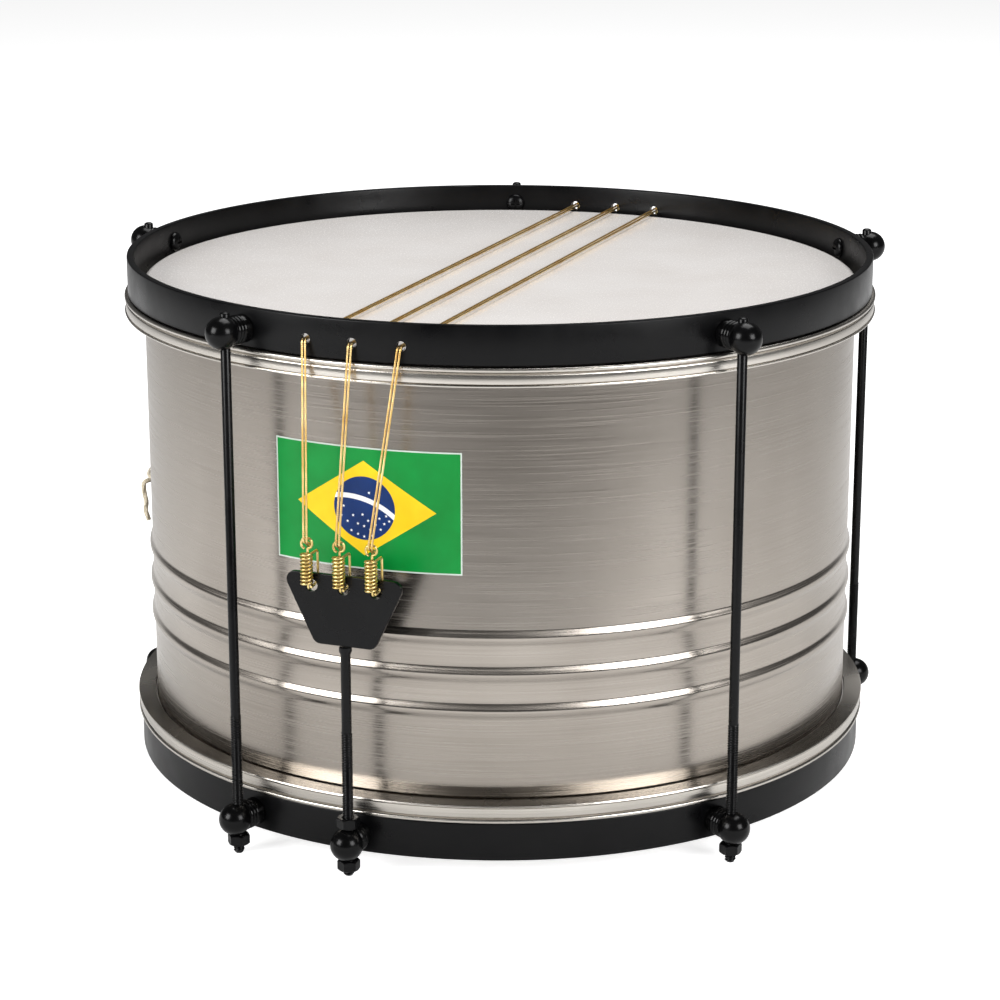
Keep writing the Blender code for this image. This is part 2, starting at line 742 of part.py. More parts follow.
def baked_in_place(obj):
    """Swap an object's mesh for its evaluated one and drop its modifiers."""
    bpy.context.view_layer.update()
    evaluated = obj.evaluated_get(bpy.context.evaluated_depsgraph_get())
    mesh = bpy.data.meshes.new_from_object(evaluated)
    obj.modifiers.clear()
    obj.data = mesh
    return mesh


def make_cord():
    """A short cotton cord looped round the last tension rod, its tail hanging."""
    azimuth = lug_azimuths()[-1]
    axis = on_circle(azimuth, ROD_CIRCLE, CORD_HEIGHT)
    out = on_circle(azimuth, 1.0, 0.0)
    across = Vector((0.0, 0.0, 1.0)).cross(out)
    points = [axis + out * u + across * v + Vector((0.0, 0.0, w))
              for u, v, w in smooth(CORD_ROUTE, CORD_POINTS_PER_SPAN)]
    cord = tube("tie_cord", points, CORD_RADIUS, 2)
    finish(cord, COTTON)


# Assembly

def build():
    hoop_frame = empty("resonant_hoop_frame", (0.0, 0.0, 0.0))
    snare_frame = empty("snare_frame", on_circle(0.0, ROD_CIRCLE, 0.0))
    make_shell()
    make_head("batter_head", 1, DRUM_DEPTH)
    make_head("resonant_head", -1, 0.0)
    make_flesh_hoop("batter_flesh_hoop", 1, DRUM_DEPTH)
    make_flesh_hoop("resonant_flesh_hoop", -1, 0.0)
    batter_holes = lug_screw_cylinders(lug_azimuths(), BATTER_LUG_Z) + string_cylinders()
    resonant_holes = lug_screw_cylinders(lug_azimuths() + [0.0], RESONANT_LUG_Z)
    make_counter_hoop("batter_counter_hoop", 1, DRUM_DEPTH, batter_holes)
    make_counter_hoop("resonant_counter_hoop", -1, 0.0, resonant_holes, hoop_frame)
    batter_lug = lug_mesh(ROD_RADIUS + FIT)
    resonant_lug = lug_mesh(THREAD_RADIUS + FIT)
    screw = screw_mesh()
    make_lugs("batter", BATTER_LUG_Z, batter_lug, screw)
    make_lugs("resonant", RESONANT_LUG_Z, resonant_lug, screw, hoop_frame)
    place_lug("snare_lug", 0.0, RESONANT_LUG_Z, resonant_lug, hoop_frame)
    place_lug("snare_lug_screw", 0.0, RESONANT_LUG_Z, screw, hoop_frame)
    make_tension_rods()
    make_nuts(hoop_frame)
    make_plate(snare_frame)
    make_snare_rod(snare_frame)
    make_ties(snare_frame)
    make_strings()
    make_toggles()
    make_flag()
    make_cord()


build()
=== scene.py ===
# %% [markdown]
# # A caixa
# A caixa is a shallow snare drum from Brazil. Its strings lie over the upper head,
# and a plate with a threaded rod pulls them tight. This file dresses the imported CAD
# model of one: every piece gets its real round form and a finish made of nodes.

import math

import bmesh
import bpy
from mathutils import Matrix, Vector


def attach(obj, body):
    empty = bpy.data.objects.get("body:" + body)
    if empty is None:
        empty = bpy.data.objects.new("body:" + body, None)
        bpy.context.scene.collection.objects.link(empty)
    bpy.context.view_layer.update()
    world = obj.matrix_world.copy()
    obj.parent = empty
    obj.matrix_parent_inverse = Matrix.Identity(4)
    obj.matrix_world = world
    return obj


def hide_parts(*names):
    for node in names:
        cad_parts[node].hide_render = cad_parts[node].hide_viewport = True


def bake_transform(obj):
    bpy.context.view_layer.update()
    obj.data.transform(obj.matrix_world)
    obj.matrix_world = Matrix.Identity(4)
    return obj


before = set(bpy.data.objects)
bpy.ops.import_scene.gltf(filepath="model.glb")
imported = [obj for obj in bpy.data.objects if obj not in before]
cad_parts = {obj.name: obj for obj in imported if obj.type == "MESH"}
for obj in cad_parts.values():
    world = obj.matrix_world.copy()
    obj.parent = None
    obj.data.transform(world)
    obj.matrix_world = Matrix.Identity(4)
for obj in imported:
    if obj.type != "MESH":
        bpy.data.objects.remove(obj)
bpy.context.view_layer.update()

# %% [markdown]
# ## Camera
# The camera was fitted to the drum's rims, hoops and ribs: round rings look like
# ellipses, whose shape tells where the camera stood. It stands about 1.2 m away, 21
# degrees round from the snare plate, and looks down by 16 degrees.

# %% Camera
CAMERA_PLACE = Vector((0.4219, -1.1129, 0.4325))
CAMERA_AIM = Vector((0.0, 0.0, 0.0926))
CAMERA_LENS = 101.06
SENSOR_WIDTH = 36.0


def linked(name, data):
    """A new object in the scene for some data."""
    obj = bpy.data.objects.new(name, data)
    bpy.context.scene.collection.objects.link(obj)
    return obj


def aimed(obj, place, target):
    """Put a camera or lamp at a place, looking at a target."""
    obj.location = place
    obj.rotation_euler = (Vector(target) - Vector(place)).to_track_quat('-Z', 'Y').to_euler()


camera_data = bpy.data.cameras.new("camera")
camera_data.lens = CAMERA_LENS
camera_data.sensor_width = SENSOR_WIDTH
camera = linked("camera", camera_data)
aimed(camera, CAMERA_PLACE, CAMERA_AIM)
bpy.context.scene.camera = camera
print("camera distance, m:", round((CAMERA_PLACE - CAMERA_AIM).length, 3))

# %% [markdown]
# ## Sizes
# All lengths are in metres, as in the CAD. The rings, lugs and rods share a few radii,
# and each touching pair keeps the CAD's gap, so nothing cuts into its neighbour.

# %% Sizes
MM = 0.001
FIT = 0.3 * MM
DRUM_DEPTH = 195.2 * MM
SHELL_RADIUS = 152.4 * MM
SHELL_WALL = 1.2 * MM
EDGE_RADIUS = 2.4 * MM
FILM = 0.4 * MM
FLESH_INNER = 153.4 * MM
FLESH_OUTER = 160.8 * MM
FLESH_HEIGHT = 7.6 * MM
HOOP_SEAT = 5.0 * MM
HOOP_HEIGHT = 15.8 * MM
HOOP_OUTER = 159.3 * MM
HOOP_INNER = 156.3 * MM
ROD_CIRCLE = 169.3 * MM
ROD_RADIUS = 2.0 * MM
THREAD_RADIUS = 2.25 * MM
BATTER_LUG_Z = 197.5 * MM
RESONANT_LUG_Z = -3.5 * MM
LUG_AZIMUTHS = [math.radians(-18 + 72 * index) for index in range(5)]
RING_STEPS = 192


def on_circle(azimuth, radius, height):
    """A place on a circle round the drum, with its azimuth counted from the snare plate."""
    return Vector((radius * math.sin(azimuth), -radius * math.cos(azimuth), height))


print("rod circle, mm:", round(ROD_CIRCLE / MM, 1), "lugs per hoop:", len(LUG_AZIMUTHS))

# %% [markdown]
# ## Nodes and colours
# One function adds a shader node with its settings and links, and one turns an sRGB
# hex value into the linear colour that a shader works with. The others build on them.
# Noise stays mostly between 0.3 and 0.7, so those are the limits that are spread.

# %% Node and colour helpers
PATTERN_LIMITS = (0.3, 0.7)


def linear(hex_colour):
    """Turn an sRGB hex value into linear colour."""
    channels = [int(hex_colour[place:place + 2], 16) / 255 for place in (1, 3, 5)]
    return tuple(c / 12.92 if c <= 0.04045 else ((c + 0.055) / 1.055) ** 2.4 for c in channels) + (1.0,)


def add_node(tree, kind, settings=None, links=None):
    """Add a node, set its properties or sockets, and link its inputs."""
    node = tree.nodes.new(kind)
    for name, value in (settings or {}).items():
        if isinstance(name, str) and hasattr(node, name):
            setattr(node, name, value)
        else:
            node.inputs[name].default_value = value
    for name, source in (links or {}).items():
        tree.links.new(source, node.inputs[name])
    return node


def new_finish(name, sockets):
    """A material with a Principled shader, and the sockets that are the same all over."""
    material = bpy.data.materials.new(name)
    material.use_nodes = True
    shader = material.node_tree.nodes["Principled BSDF"]
    for socket, value in sockets.items():
        shader.inputs[socket].default_value = value
    return material, material.node_tree, shader


def grain(tree, cells, detail):
    """Noise in the object's own space, with its cells per metre, alike or along X, Y and Z."""
    scale = cells if isinstance(cells, tuple) else (cells,) * 3
    place = add_node(tree, "ShaderNodeTexCoord")
    stretched = add_node(tree, "ShaderNodeMapping", {"Scale": scale}, {"Vector": place.outputs["Object"]})
    noise = add_node(tree, "ShaderNodeTexNoise", {"Scale": 1.0, "Detail": detail},
                     {"Vector": stretched.outputs["Vector"]})
    return noise.outputs["Fac"]


def spread(tree, pattern, low, high):
    """Spread a pattern between two numbers, or between two hex colours."""
    start, end = PATTERN_LIMITS
    if not isinstance(low, str):
        limits = {"From Min": start, "From Max": end, "To Min": low, "To Max": high}
        return add_node(tree, "ShaderNodeMapRange", limits, {"Value": pattern}).outputs["Result"]
    ramp = add_node(tree, "ShaderNodeValToRGB", {}, {"Fac": pattern})
    for element, place, colour in zip(ramp.color_ramp.elements, (start, end), (low, high)):
        element.position = place
        element.color = linear(colour)
    return ramp.outputs["Color"]


def drive(tree, shader, sources, bumps=None):
    """Link a source to each named socket; bumps are a pattern, a strength and a depth in metres."""
    if bumps:
        height, strength, depth = bumps
        bump = add_node(tree, "ShaderNodeBump", {"Strength": strength, "Distance": depth}, {"Height": height})
        sources["Normal"] = bump.outputs["Normal"]
    for socket, source in sources.items():
        tree.links.new(source, shader.inputs[socket])


print("white is", linear("#ffffff")[:3])

# %% [markdown]
# ## Brushed aluminium
# The shell and the flesh hoops are aluminium, brushed round the drum. Brushing leaves
# scratches some 60 mm long and well under 0.1 mm wide. They are drawn 0.5 mm wide,
# because finer ones vanish in the picture. A photograph of brushed metal could be
# wrapped round, but stretched noise has no seam. An anisotropic shader spreads each
# highlight across the scratches, so a soft lamp becomes an upright stripe.

# %% Brushed aluminium
SCRATCH_LENGTH = 60 * MM
SCRATCH_WIDTH = 0.5 * MM
SCRATCH_DEPTH = 0.02 * MM
SCRATCH_SHARE = 0.45
STAIN_CELLS = (14.0, 14.0, 9.0)
STAIN_RANGE = (0.15, 0.4)
SMOOTHER = 0.05
ROUGHER = 0.08


def brushed_aluminium(name, dark, light, roughness):
    """Metal whose shade and roughness follow scratches round Z, over wider stains."""
    material, tree, shader = new_finish(name, {"Metallic": 1.0, "Anisotropic": 0.75})
    scratches = grain(tree, (1 / SCRATCH_LENGTH, 1 / SCRATCH_LENGTH, 1 / SCRATCH_WIDTH), 3.0)
    stains = grain(tree, STAIN_CELLS, 2.0)
    mixed = add_node(tree, "ShaderNodeMath", {"operation": 'MULTIPLY_ADD', 1: SCRATCH_SHARE},
                     {0: scratches, 2: spread(tree, stains, *STAIN_RANGE)})
    tangent = add_node(tree, "ShaderNodeTangent", {"direction_type": 'RADIAL', "axis": 'Z'})
    drive(tree, shader, {"Base Color": spread(tree, mixed.outputs["Value"], dark, light),
                         "Roughness": spread(tree, scratches, roughness - SMOOTHER, roughness + ROUGHER),
                         "Tangent": tangent.outputs["Tangent"]}, bumps=(scratches, 0.12, SCRATCH_DEPTH))
    return material


SHELL_METAL = brushed_aluminium("brushed_aluminium_shell", "#8f8880", "#aba49c", 0.22)
RIM_METAL = brushed_aluminium("rolled_aluminium_hoop", "#a8a39b", "#cfcac3", 0.22)
print("made", SHELL_METAL.name, "and", RIM_METAL.name)

# %% [markdown]
# ## Black paint
# Hoops, lugs, rods and plate are steel under black paint. Sprayed paint is a little
# uneven, like orange peel, with bumps about 1 mm apart. One even black would look like
# a hole in the picture, so faint wear changes its shade and gloss. Its reflections are
# kept weak, so that it stays black under white lamps.

# %% Black paint
PEEL_SPACING = 1.2 * MM
PEEL_DEPTH = 0.05 * MM
WEAR_CELLS = 60.0


def black_paint(name, dark, light, roughness, peel):
    """Paint with worn patches and orange peel; peel is the strength of its bumps."""
    material, tree, shader = new_finish(name, {"Metallic": 0.0, "Specular IOR Level": 0.16})
    dimples = grain(tree, 1 / PEEL_SPACING, 2.0)
    wear = grain(tree, WEAR_CELLS, 4.0)
    drive(tree, shader, {"Base Color": spread(tree, wear, dark, light),
                         "Roughness": spread(tree, wear, roughness - SMOOTHER, roughness + ROUGHER)},
          bumps=(dimples, peel, PEEL_DEPTH))
    return material


HOOP_PAINT = black_paint("black_paint_on_hoop", "#040405", "#0a0a0b", 0.30, 0.25)
LUG_PAINT = black_paint("black_paint_on_lugs", "#040404", "#09090a", 0.20, 0.15)
ROD_PAINT = black_paint("black_paint_on_rods", "#060607", "#0d0d0e", 0.26, 0.15)
print("made", HOOP_PAINT.name, LUG_PAINT.name, ROD_PAINT.name)

# %% [markdown]
# ## Drum head film
# The heads are white polyester film. It is smooth, with a thin clear gloss, and its
# white is slightly cloudy, which shows as very soft patches a few centimetres wide.
# Noise gives these patches, because a flat white would look like a cut-out.

# %% Drum head film
CLOUD_CELLS = 30.0
CLOUD_DEPTH = 0.05 * MM
PORE_CELLS = 1500.0


def drum_film(name, dark, light):
    """White film, cloudy in colour and finely uneven in gloss."""
    material, tree, shader = new_finish(name, {"IOR": 1.5, "Coat Weight": 0.35, "Coat Roughness": 0.08})
    clouds = grain(tree, CLOUD_CELLS, 3.0)
    pores = grain(tree, PORE_CELLS, 1.0)
    drive(tree, shader, {"Base Color": spread(tree, clouds, dark, light),
                         "Roughness": spread(tree, pores, 0.22, 0.28)}, bumps=(clouds, 0.05, CLOUD_DEPTH))
    return material


HEAD_FILM = drum_film("white_polyester_film", "#ece7e3", "#f2eeeb")
print("made", HEAD_FILM.name)

# %% [markdown]
# ## Bronze wire
# The strings and ties are wire in a golden bronze. A metallic shader keeps that warm
# colour in its highlights too. Tarnish comes in patches about a centimetre long. One
# noise both darkens and dulls the metal there, because tarnish does both at once.

# %% Bronze wire
TARNISH_CELLS = 110.0
TARNISH_DEPTH = 0.02 * MM


def bronze(name, dark, light, roughness):
    """Golden metal, duller and darker where it is tarnished."""
    material, tree, shader = new_finish(name, {"Metallic": 1.0})
    tarnish = grain(tree, TARNISH_CELLS, 3.0)
    drive(tree, shader, {"Base Color": spread(tree, tarnish, dark, light),
                         "Roughness": spread(tree, tarnish, roughness + 0.1, roughness)},
          bumps=(tarnish, 0.1, TARNISH_DEPTH))
    return material


STRING_BRONZE = bronze("wound_bronze_string", "#c79f58", "#f2d79a", 0.28)
TIE_BRONZE = bronze("bronze_tie_wire", "#c0a25e", "#ecd896", 0.28)
print("made", STRING_BRONZE.name, TIE_BRONZE.name)

# %% [markdown]
# ## Turning
# Most pieces are round: a profile of radius and height is swept about the upright axis.
# Blender's Screw modifier could turn them, but a ring with a butt joint must stop short
# of a full turn and have its two ends closed, so the sweep is mesh code.

# %% Turning helpers
CREASE = math.radians(30)


def new_object(name, mesh, sharp=CREASE):
    """A smooth object whose edges stay crisp past an angle."""
    mesh.shade_smooth()
    mesh.set_sharp_from_angle(angle=sharp)
    return linked(name, mesh)


def plain_mesh(shape, name):
    """Write a bmesh out as a mesh and free it."""
    mesh = bpy.data.meshes.new(name)
    shape.to_mesh(mesh)
    shape.free()
    return mesh


def closed_object(name, shape, sharp=CREASE):
    """An object for a closed bmesh, with its faces turned outward."""
    bmesh.ops.recalc_face_normals(shape, faces=shape.faces)
    return new_object(name, plain_mesh(shape, name), sharp)


def band(shape, here, there):
    """Join two rings of points with a band of faces."""
    for place, point in enumerate(here):
        after = (place + 1) % len(here)
        shape.faces.new((point, here[after], there[after], there[place]))


def swept(name, profile, steps=RING_STEPS, start=0.0, sweep=2 * math.pi):
    """Sweep a closed profile of (radius, height) about Z from an azimuth; a part turn gets end caps."""
    shape = bmesh.new()
    full = sweep > 2 * math.pi - 1e-6
    rows = []
    for step in range(steps if full else steps + 1):
        azimuth = start + sweep * step / steps
        rows.append([shape.verts.new(on_circle(azimuth, radius, height)) for radius, height in profile])
    for here, there in zip(rows, rows[1:]):
        band(shape, here, there)
    if full:
        band(shape, rows[-1], rows[0])
    else:
        shape.faces.new(rows[0][::-1])
        shape.faces.new(rows[-1])
    return closed_object(name, shape)


def arc(centre, radius, start, end, steps):
    """Points of an arc, with its angles in degrees."""
    angles = [math.radians(start + (end - start) * step / steps) for step in range(steps + 1)]
    return [(centre[0] + radius * math.cos(a), centre[1] + radius * math.sin(a)) for a in angles]


def dress(piece, material, body, slot, *nodes):
    """Give a piece its finish and the body that it moves with, and hide the CAD nodes that it replaces."""
    piece.data.materials.clear()
    piece.data.materials.append(material)
    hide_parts(*nodes)
    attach(piece, body)


print("turning helpers ready")

# %% [markdown]
# ## Shell
# The shell is one aluminium tube. Three beads rolled into its lower third stiffen it.
# Rings could be laid on a plain tube, but would leave creases where the real metal
# flows, so the beads are in the profile. Each is one raised wave, 7 mm wide and 1.2 mm
# high, drawn with a cosine whose power below one makes it fuller.

# %% Shell
RIB_HEIGHTS = (79.8 * MM, 64.6 * MM, 49.4 * MM)
RIB_WIDTH = 7.0 * MM
RIB_RISE = 1.2 * MM
RIB_STEPS = 12
RIB_FULLNESS = 0.75
EDGE_STEPS = 5


def shell_side(inset):
    """One side of the tube's wall from top to bottom, inset from the outside."""
    top = DRUM_DEPTH - FILM - FIT
    bottom = FILM + FIT
    middle = SHELL_RADIUS - EDGE_RADIUS
    edge = EDGE_RADIUS - inset
    points = arc((middle, top - EDGE_RADIUS), edge, 90, 0, EDGE_STEPS)
    for height in RIB_HEIGHTS:
        for step in range(RIB_STEPS + 1):
            share = step / RIB_STEPS
            rise = RIB_RISE * (0.5 - 0.5 * math.cos(2 * math.pi * share)) ** RIB_FULLNESS
            points.append((SHELL_RADIUS - inset + rise, height + RIB_WIDTH * (0.5 - share)))
    return points + arc((middle, bottom + EDGE_RADIUS), edge, 0, -90, EDGE_STEPS)


shell = swept("shell_tube", shell_side(0.0) + shell_side(SHELL_WALL)[::-1])
dress(shell, SHELL_METAL, "drum", "brushed_aluminium", "shell")
print("shell faces:", len(shell.data.polygons))

# %% [markdown]
# ## Turned pieces
# A solid piece's profile starts and ends on the axis, so its two end points are shared
# by a whole ring of triangles. The lower head and hoops mirror the upper ones, so a
# profile is written once and stood on either head.

# %% Turned pieces
def turned(name, profile, steps=48):
    """Turn an open profile whose two ends lie on the axis."""
    shape = bmesh.new()
    first = shape.verts.new((0.0, 0.0, profile[0][1]))
    last = shape.verts.new((0.0, 0.0, profile[-1][1]))
    angles = [2 * math.pi * side / steps for side in range(steps)]
    rings = [[shape.verts.new((radius * math.cos(angle), radius * math.sin(angle), height))
              for angle in angles] for radius, height in profile[1:-1]]
    for side in range(steps):
        after = (side + 1) % steps
        shape.faces.new((first, rings[0][side], rings[0][after]))
        shape.faces.new((last, rings[-1][after], rings[-1][side]))
        for here, there in zip(rings, rings[1:]):
            shape.faces.new((here[side], there[side], there[after], here[after]))
    return closed_object(name, shape)


def facing(side, profile):
    """Stand a profile of (radius, height out from the head) on the upper head, side 1, or the lower, -1."""
    face = DRUM_DEPTH if side > 0 else 0.0
    points = [(radius, face + side * height) for radius, height in profile]
    return points if side > 0 else points[::-1]


print("turned pieces ready")

# %% [markdown]
# ## Heads
# Each head is a flat film with a rounded shoulder. It runs over the shell's edge and
# down into the flesh hoop. A disc would do for the middle alone, but the shoulder shows
# inside the hoop, so each film is turned in one piece from its middle to its collar.

# %% Heads
COLLAR_END = -11.6 * MM
HEAD_MIDDLE = 75 * MM
SHOULDER_STEPS = 8


def make_head(name, side, node):
    """A film with its shoulder and collar; side is 1 for the upper head and -1 for the lower."""
    shoulder = EDGE_RADIUS + FIT + FILM
    centre = (SHELL_RADIUS - EDGE_RADIUS, -shoulder)
    collar = SHELL_RADIUS + FIT
    profile = [(0.0, 0.0), (HEAD_MIDDLE, 0.0)] + arc(centre, shoulder, 90, 0, SHOULDER_STEPS)
    profile += [(collar + FILM, COLLAR_END), (collar, COLLAR_END)]
    profile += arc(centre, shoulder - FILM, 0, 90, SHOULDER_STEPS)
    profile += [(HEAD_MIDDLE, -FILM), (0.0, -FILM)]
    head = turned(name, facing(side, profile), RING_STEPS)
    dress(head, HEAD_FILM, "drum", "head_film", node)


make_head("upper_head_film", 1, "batter_head")
make_head("lower_head_film", -1, "resonant_head")
print("heads ready")

# %% [markdown]
# ## Flesh hoops
# A flesh hoop is a rolled aluminium channel, bent into a ring. From the counter hoop
# down it shows a bead, a groove, a flat band and a thin lip. These catch the light one
# by one, so they are steps in the profile and not bumps in the finish. Its ends meet in
# a butt joint, which the sweep leaves open by a quarter of a millimetre.

# %% Flesh hoops
BUTT_GAP = 0.25 * MM
BUTT_AZIMUTH = math.radians(104)
LOWER_BUTT_AZIMUTH = BUTT_AZIMUTH + math.radians(150)
BEAD_RADIUS = 1.0 * MM
BEAD_STEPS = 6
TOP_FLAT = 2 * MM
# Points in from the outside and down from the top: the groove under the bead.
GROOVE_POINTS = ((1.2 * MM, 2.2 * MM), (0.5 * MM, 2.7 * MM), (0.35 * MM, 3.1 * MM))
# Points in from the outside and up from the bottom: the band's foot and the lip.
LIP_POINTS = ((0.5 * MM, 1.3 * MM), (0.9 * MM, 1.0 * MM), (0.1 * MM, 0.8 * MM), (0.0, 0.5 * MM),
              (0.2 * MM, 0.0))


def make_flesh_hoop(name, side, node, butt):
    """A channel bent into a ring that starts and ends at its butt joint."""
    top = -(HOOP_SEAT + FIT)
    bottom = top - FLESH_HEIGHT
    profile = [(FLESH_INNER, top), (FLESH_INNER + TOP_FLAT, top)]
    profile += arc((FLESH_OUTER - BEAD_RADIUS, top - BEAD_RADIUS), BEAD_RADIUS, 90, -60, BEAD_STEPS)
    profile += [(FLESH_OUTER - inset, top - drop) for inset, drop in GROOVE_POINTS]
    profile += [(FLESH_OUTER - inset, bottom + rise) for inset, rise in LIP_POINTS] + [(FLESH_INNER, bottom)]
    gap = BUTT_GAP / FLESH_OUTER
    hoop = swept(name, facing(side, profile), RING_STEPS, butt + gap, 2 * math.pi - gap)
    dress(hoop, RIM_METAL, "drum", "brushed_aluminium", node)


make_flesh_hoop("upper_flesh_hoop", 1, "batter_flesh_hoop", BUTT_AZIMUTH)
make_flesh_hoop("lower_flesh_hoop", -1, "resonant_flesh_hoop", LOWER_BUTT_AZIMUTH)
print("butt joint at, degrees:", round(math.degrees(BUTT_AZIMUTH)))

# %% [markdown]
# ## Cutting and drilling
# Holes are drilled in the maker's way: a cylinder is taken away from a solid by a
# Boolean modifier, which is then applied. A hole could be only a dark disc, but screws
# and strings pass through these.

# %% Cutting and drilling
ROUND_STEPS = 32


def baked(obj):
    """Apply an object's modifiers and return its mesh; the object is removed."""
    bpy.context.view_layer.update()
    evaluated = obj.evaluated_get(bpy.context.evaluated_depsgraph_get())
    mesh = bpy.data.meshes.new_from_object(evaluated)
    bpy.data.objects.remove(obj, do_unlink=True)
    return mesh


def cut_with(obj, cutter, operation='DIFFERENCE', crossing=False):
    """Cut one solid with another whose parts may be crossing, and return the mesh that is left."""
    boolean = obj.modifiers.new("cut", 'BOOLEAN')
    boolean.operation = operation
    boolean.solver = 'EXACT'
    boolean.use_self = crossing
    boolean.object = cutter
    mesh = baked(obj)
    bpy.data.objects.remove(cutter, do_unlink=True)
    return mesh


def drills(name, holes, sides=ROUND_STEPS):
    """A cutter of cylinders, each given as (matrix, radius, length)."""
    shape = bmesh.new()
    for matrix, radius, length in holes:
        bmesh.ops.create_cone(shape, cap_ends=True, segments=sides, radius1=radius, radius2=radius,
                              depth=length, matrix=matrix)
    return linked(name, plain_mesh(shape, name))


print("cutting helpers ready")

# %% [markdown]
# ## Counter hoops
# The counter hoops are flat steel bars, 3 mm thick, rolled into rings. A plain tube
# would have sharp edges, so the bar's corners are rounded in the profile. Holes for the
# lug screws and, in the upper one, for the strings are drilled. One long drill makes a
# string's front and rear holes, which are in line.

# %% Counter hoops
SCREW_RADIUS = 2.0 * MM
STRING_X = (-19.8 * MM, 0.0, 19.8 * MM)
STRING_Z = DRUM_DEPTH + 1.8 * MM
STRING_HOLE_RADIUS = 2.1 * MM
HOOP_CORNER = 0.5 * MM
CORNER_STEPS = 3
SCREW_DRILL_LENGTH = 12 * MM
STRING_DRILL_LENGTH = 400 * MM


def outwards(azimuth):
    """Turn local Z to point out of the drum."""
    return Matrix.Rotation(azimuth, 4, 'Z') @ Matrix.Rotation(math.pi / 2, 4, 'X')


def make_counter_hoop(name, side, azimuths, screw_z, body, node, strings=()):
    """A flat bar rolled into a ring, with its corners rounded and its holes drilled."""
    inner = HOOP_INNER + HOOP_CORNER
    outer = HOOP_OUTER - HOOP_CORNER
    top = HOOP_HEIGHT - HOOP_SEAT - HOOP_CORNER
    bottom = -HOOP_SEAT + HOOP_CORNER
    corners = (((inner, top), 180), ((outer, top), 90), ((outer, bottom), 0), ((inner, bottom), -90))
    profile = []
    for corner, start in corners:
        profile += arc(corner, HOOP_CORNER, start, start - 90, CORNER_STEPS)
    ring = swept(name + "_bar", facing(side, profile))
    middle = (HOOP_INNER + HOOP_OUTER) / 2
    holes = [(Matrix.Translation(on_circle(azimuth, middle, screw_z)) @ outwards(azimuth),
              SCREW_RADIUS + FIT, SCREW_DRILL_LENGTH) for azimuth in azimuths]
    holes += [(Matrix.Translation((x, 0.0, STRING_Z)) @ Matrix.Rotation(math.pi / 2, 4, 'X'),
               STRING_HOLE_RADIUS, STRING_DRILL_LENGTH) for x in strings]
    hoop = new_object(name, cut_with(ring, drills(name + "_drills", holes)))
    dress(hoop, HOOP_PAINT, body, "black_steel", node)


make_counter_hoop("upper_counter_hoop", 1, LUG_AZIMUTHS, BATTER_LUG_Z, "drum", "batter_counter_hoop",
                  STRING_X)
make_counter_hoop("lower_counter_hoop", -1, LUG_AZIMUTHS + [0.0], RESONANT_LUG_Z, "resonant_hoop",
                  "resonant_counter_hoop")
print("counter hoops drilled")

# %% [markdown]
# ## Ball lugs
# A ball lug is turned from bar: a ball on a short neck with three fine ridges. The
# tension rod passes through the neck side of the ball. A sphere and a cylinder could be
# joined, but one profile keeps ball and neck in one skin. Lugs differ only in the bore
# for their rod, so two meshes serve them all.

# %% Ball lugs
BALL_RADIUS = 6.6 * MM
BALL_CENTRE = 11.5 * MM
ROD_PLACE = 9.7 * MM
BALL_STEPS = 16
NECK_RADIUS = 5.9 * MM
NECK_JOIN = 5.4 * MM
RIDGES = 3
RIDGE_PITCH = 1.7 * MM
# Points in from the neck's outside and down from the top of one ridge.
RIDGE_POINTS = ((0.15 * MM, 0.35 * MM), (0.0, 0.8 * MM), (0.15 * MM, 1.25 * MM), (0.7 * MM, 1.6 * MM))
# Points in from the neck's outside and up from its foot.
FOOT_POINTS = ((0.3 * MM, 0.9 * MM), (0.2 * MM, 0.0))
ROD_DRILL_LENGTH = 30 * MM
SCREW_BITE = 6.0 * MM


def lug_mesh(hole_radius):
    """A ball, its ridged neck and the screw's bore, turned in one piece and drilled for a rod."""
    join = math.degrees(math.asin(NECK_JOIN / BALL_RADIUS))
    ball = arc((0.0, BALL_CENTRE), BALL_RADIUS, 90, join - 90, BALL_STEPS)
    neck = []
    for ridge in range(RIDGES):
        upper = ball[-1][1] - ridge * RIDGE_PITCH
        neck += [(NECK_RADIUS - inset, upper - drop) for inset, drop in RIDGE_POINTS]
    neck += [(NECK_RADIUS - inset, height) for inset, height in FOOT_POINTS]
    bore_radius = SCREW_RADIUS + FIT
    bore_end = SCREW_BITE + 2 * FIT
    lug = turned("lug_blank", ball + neck + [(bore_radius, 0.0), (bore_radius, bore_end), (0.0, bore_end)])
    across = Matrix.Translation((0.0, 0.0, ROD_PLACE)) @ Matrix.Rotation(math.pi / 2, 4, 'X')
    return cut_with(lug, drills("rod_drill", [(across, hole_radius, ROD_DRILL_LENGTH)]))


upper_lug = lug_mesh(ROD_RADIUS + FIT)
lower_lug = lug_mesh(THREAD_RADIUS + FIT)
print("lug faces:", len(upper_lug.polygons))

# %% [markdown]
# ## Lug screws
# A round-headed screw holds each lug from inside the hoop. Its head is low and domed,
# with a cross recess for the driver. A bump could draw the recess, but it shows inside
# the upper hoop, so two crossing bars are cut out of the head.

# %% Lug screws
SCREW_HEAD_RADIUS = 4.4 * MM
SCREW_HEAD_HEIGHT = 2.3 * MM
SCREW_CHAMFER = 0.4 * MM
RECESS_SIZE = (4.2 * MM, 0.9 * MM, 2.4 * MM)
HOOP_THICKNESS = HOOP_OUTER - HOOP_INNER
DOME_ANGLES = range(0, 81, 10)


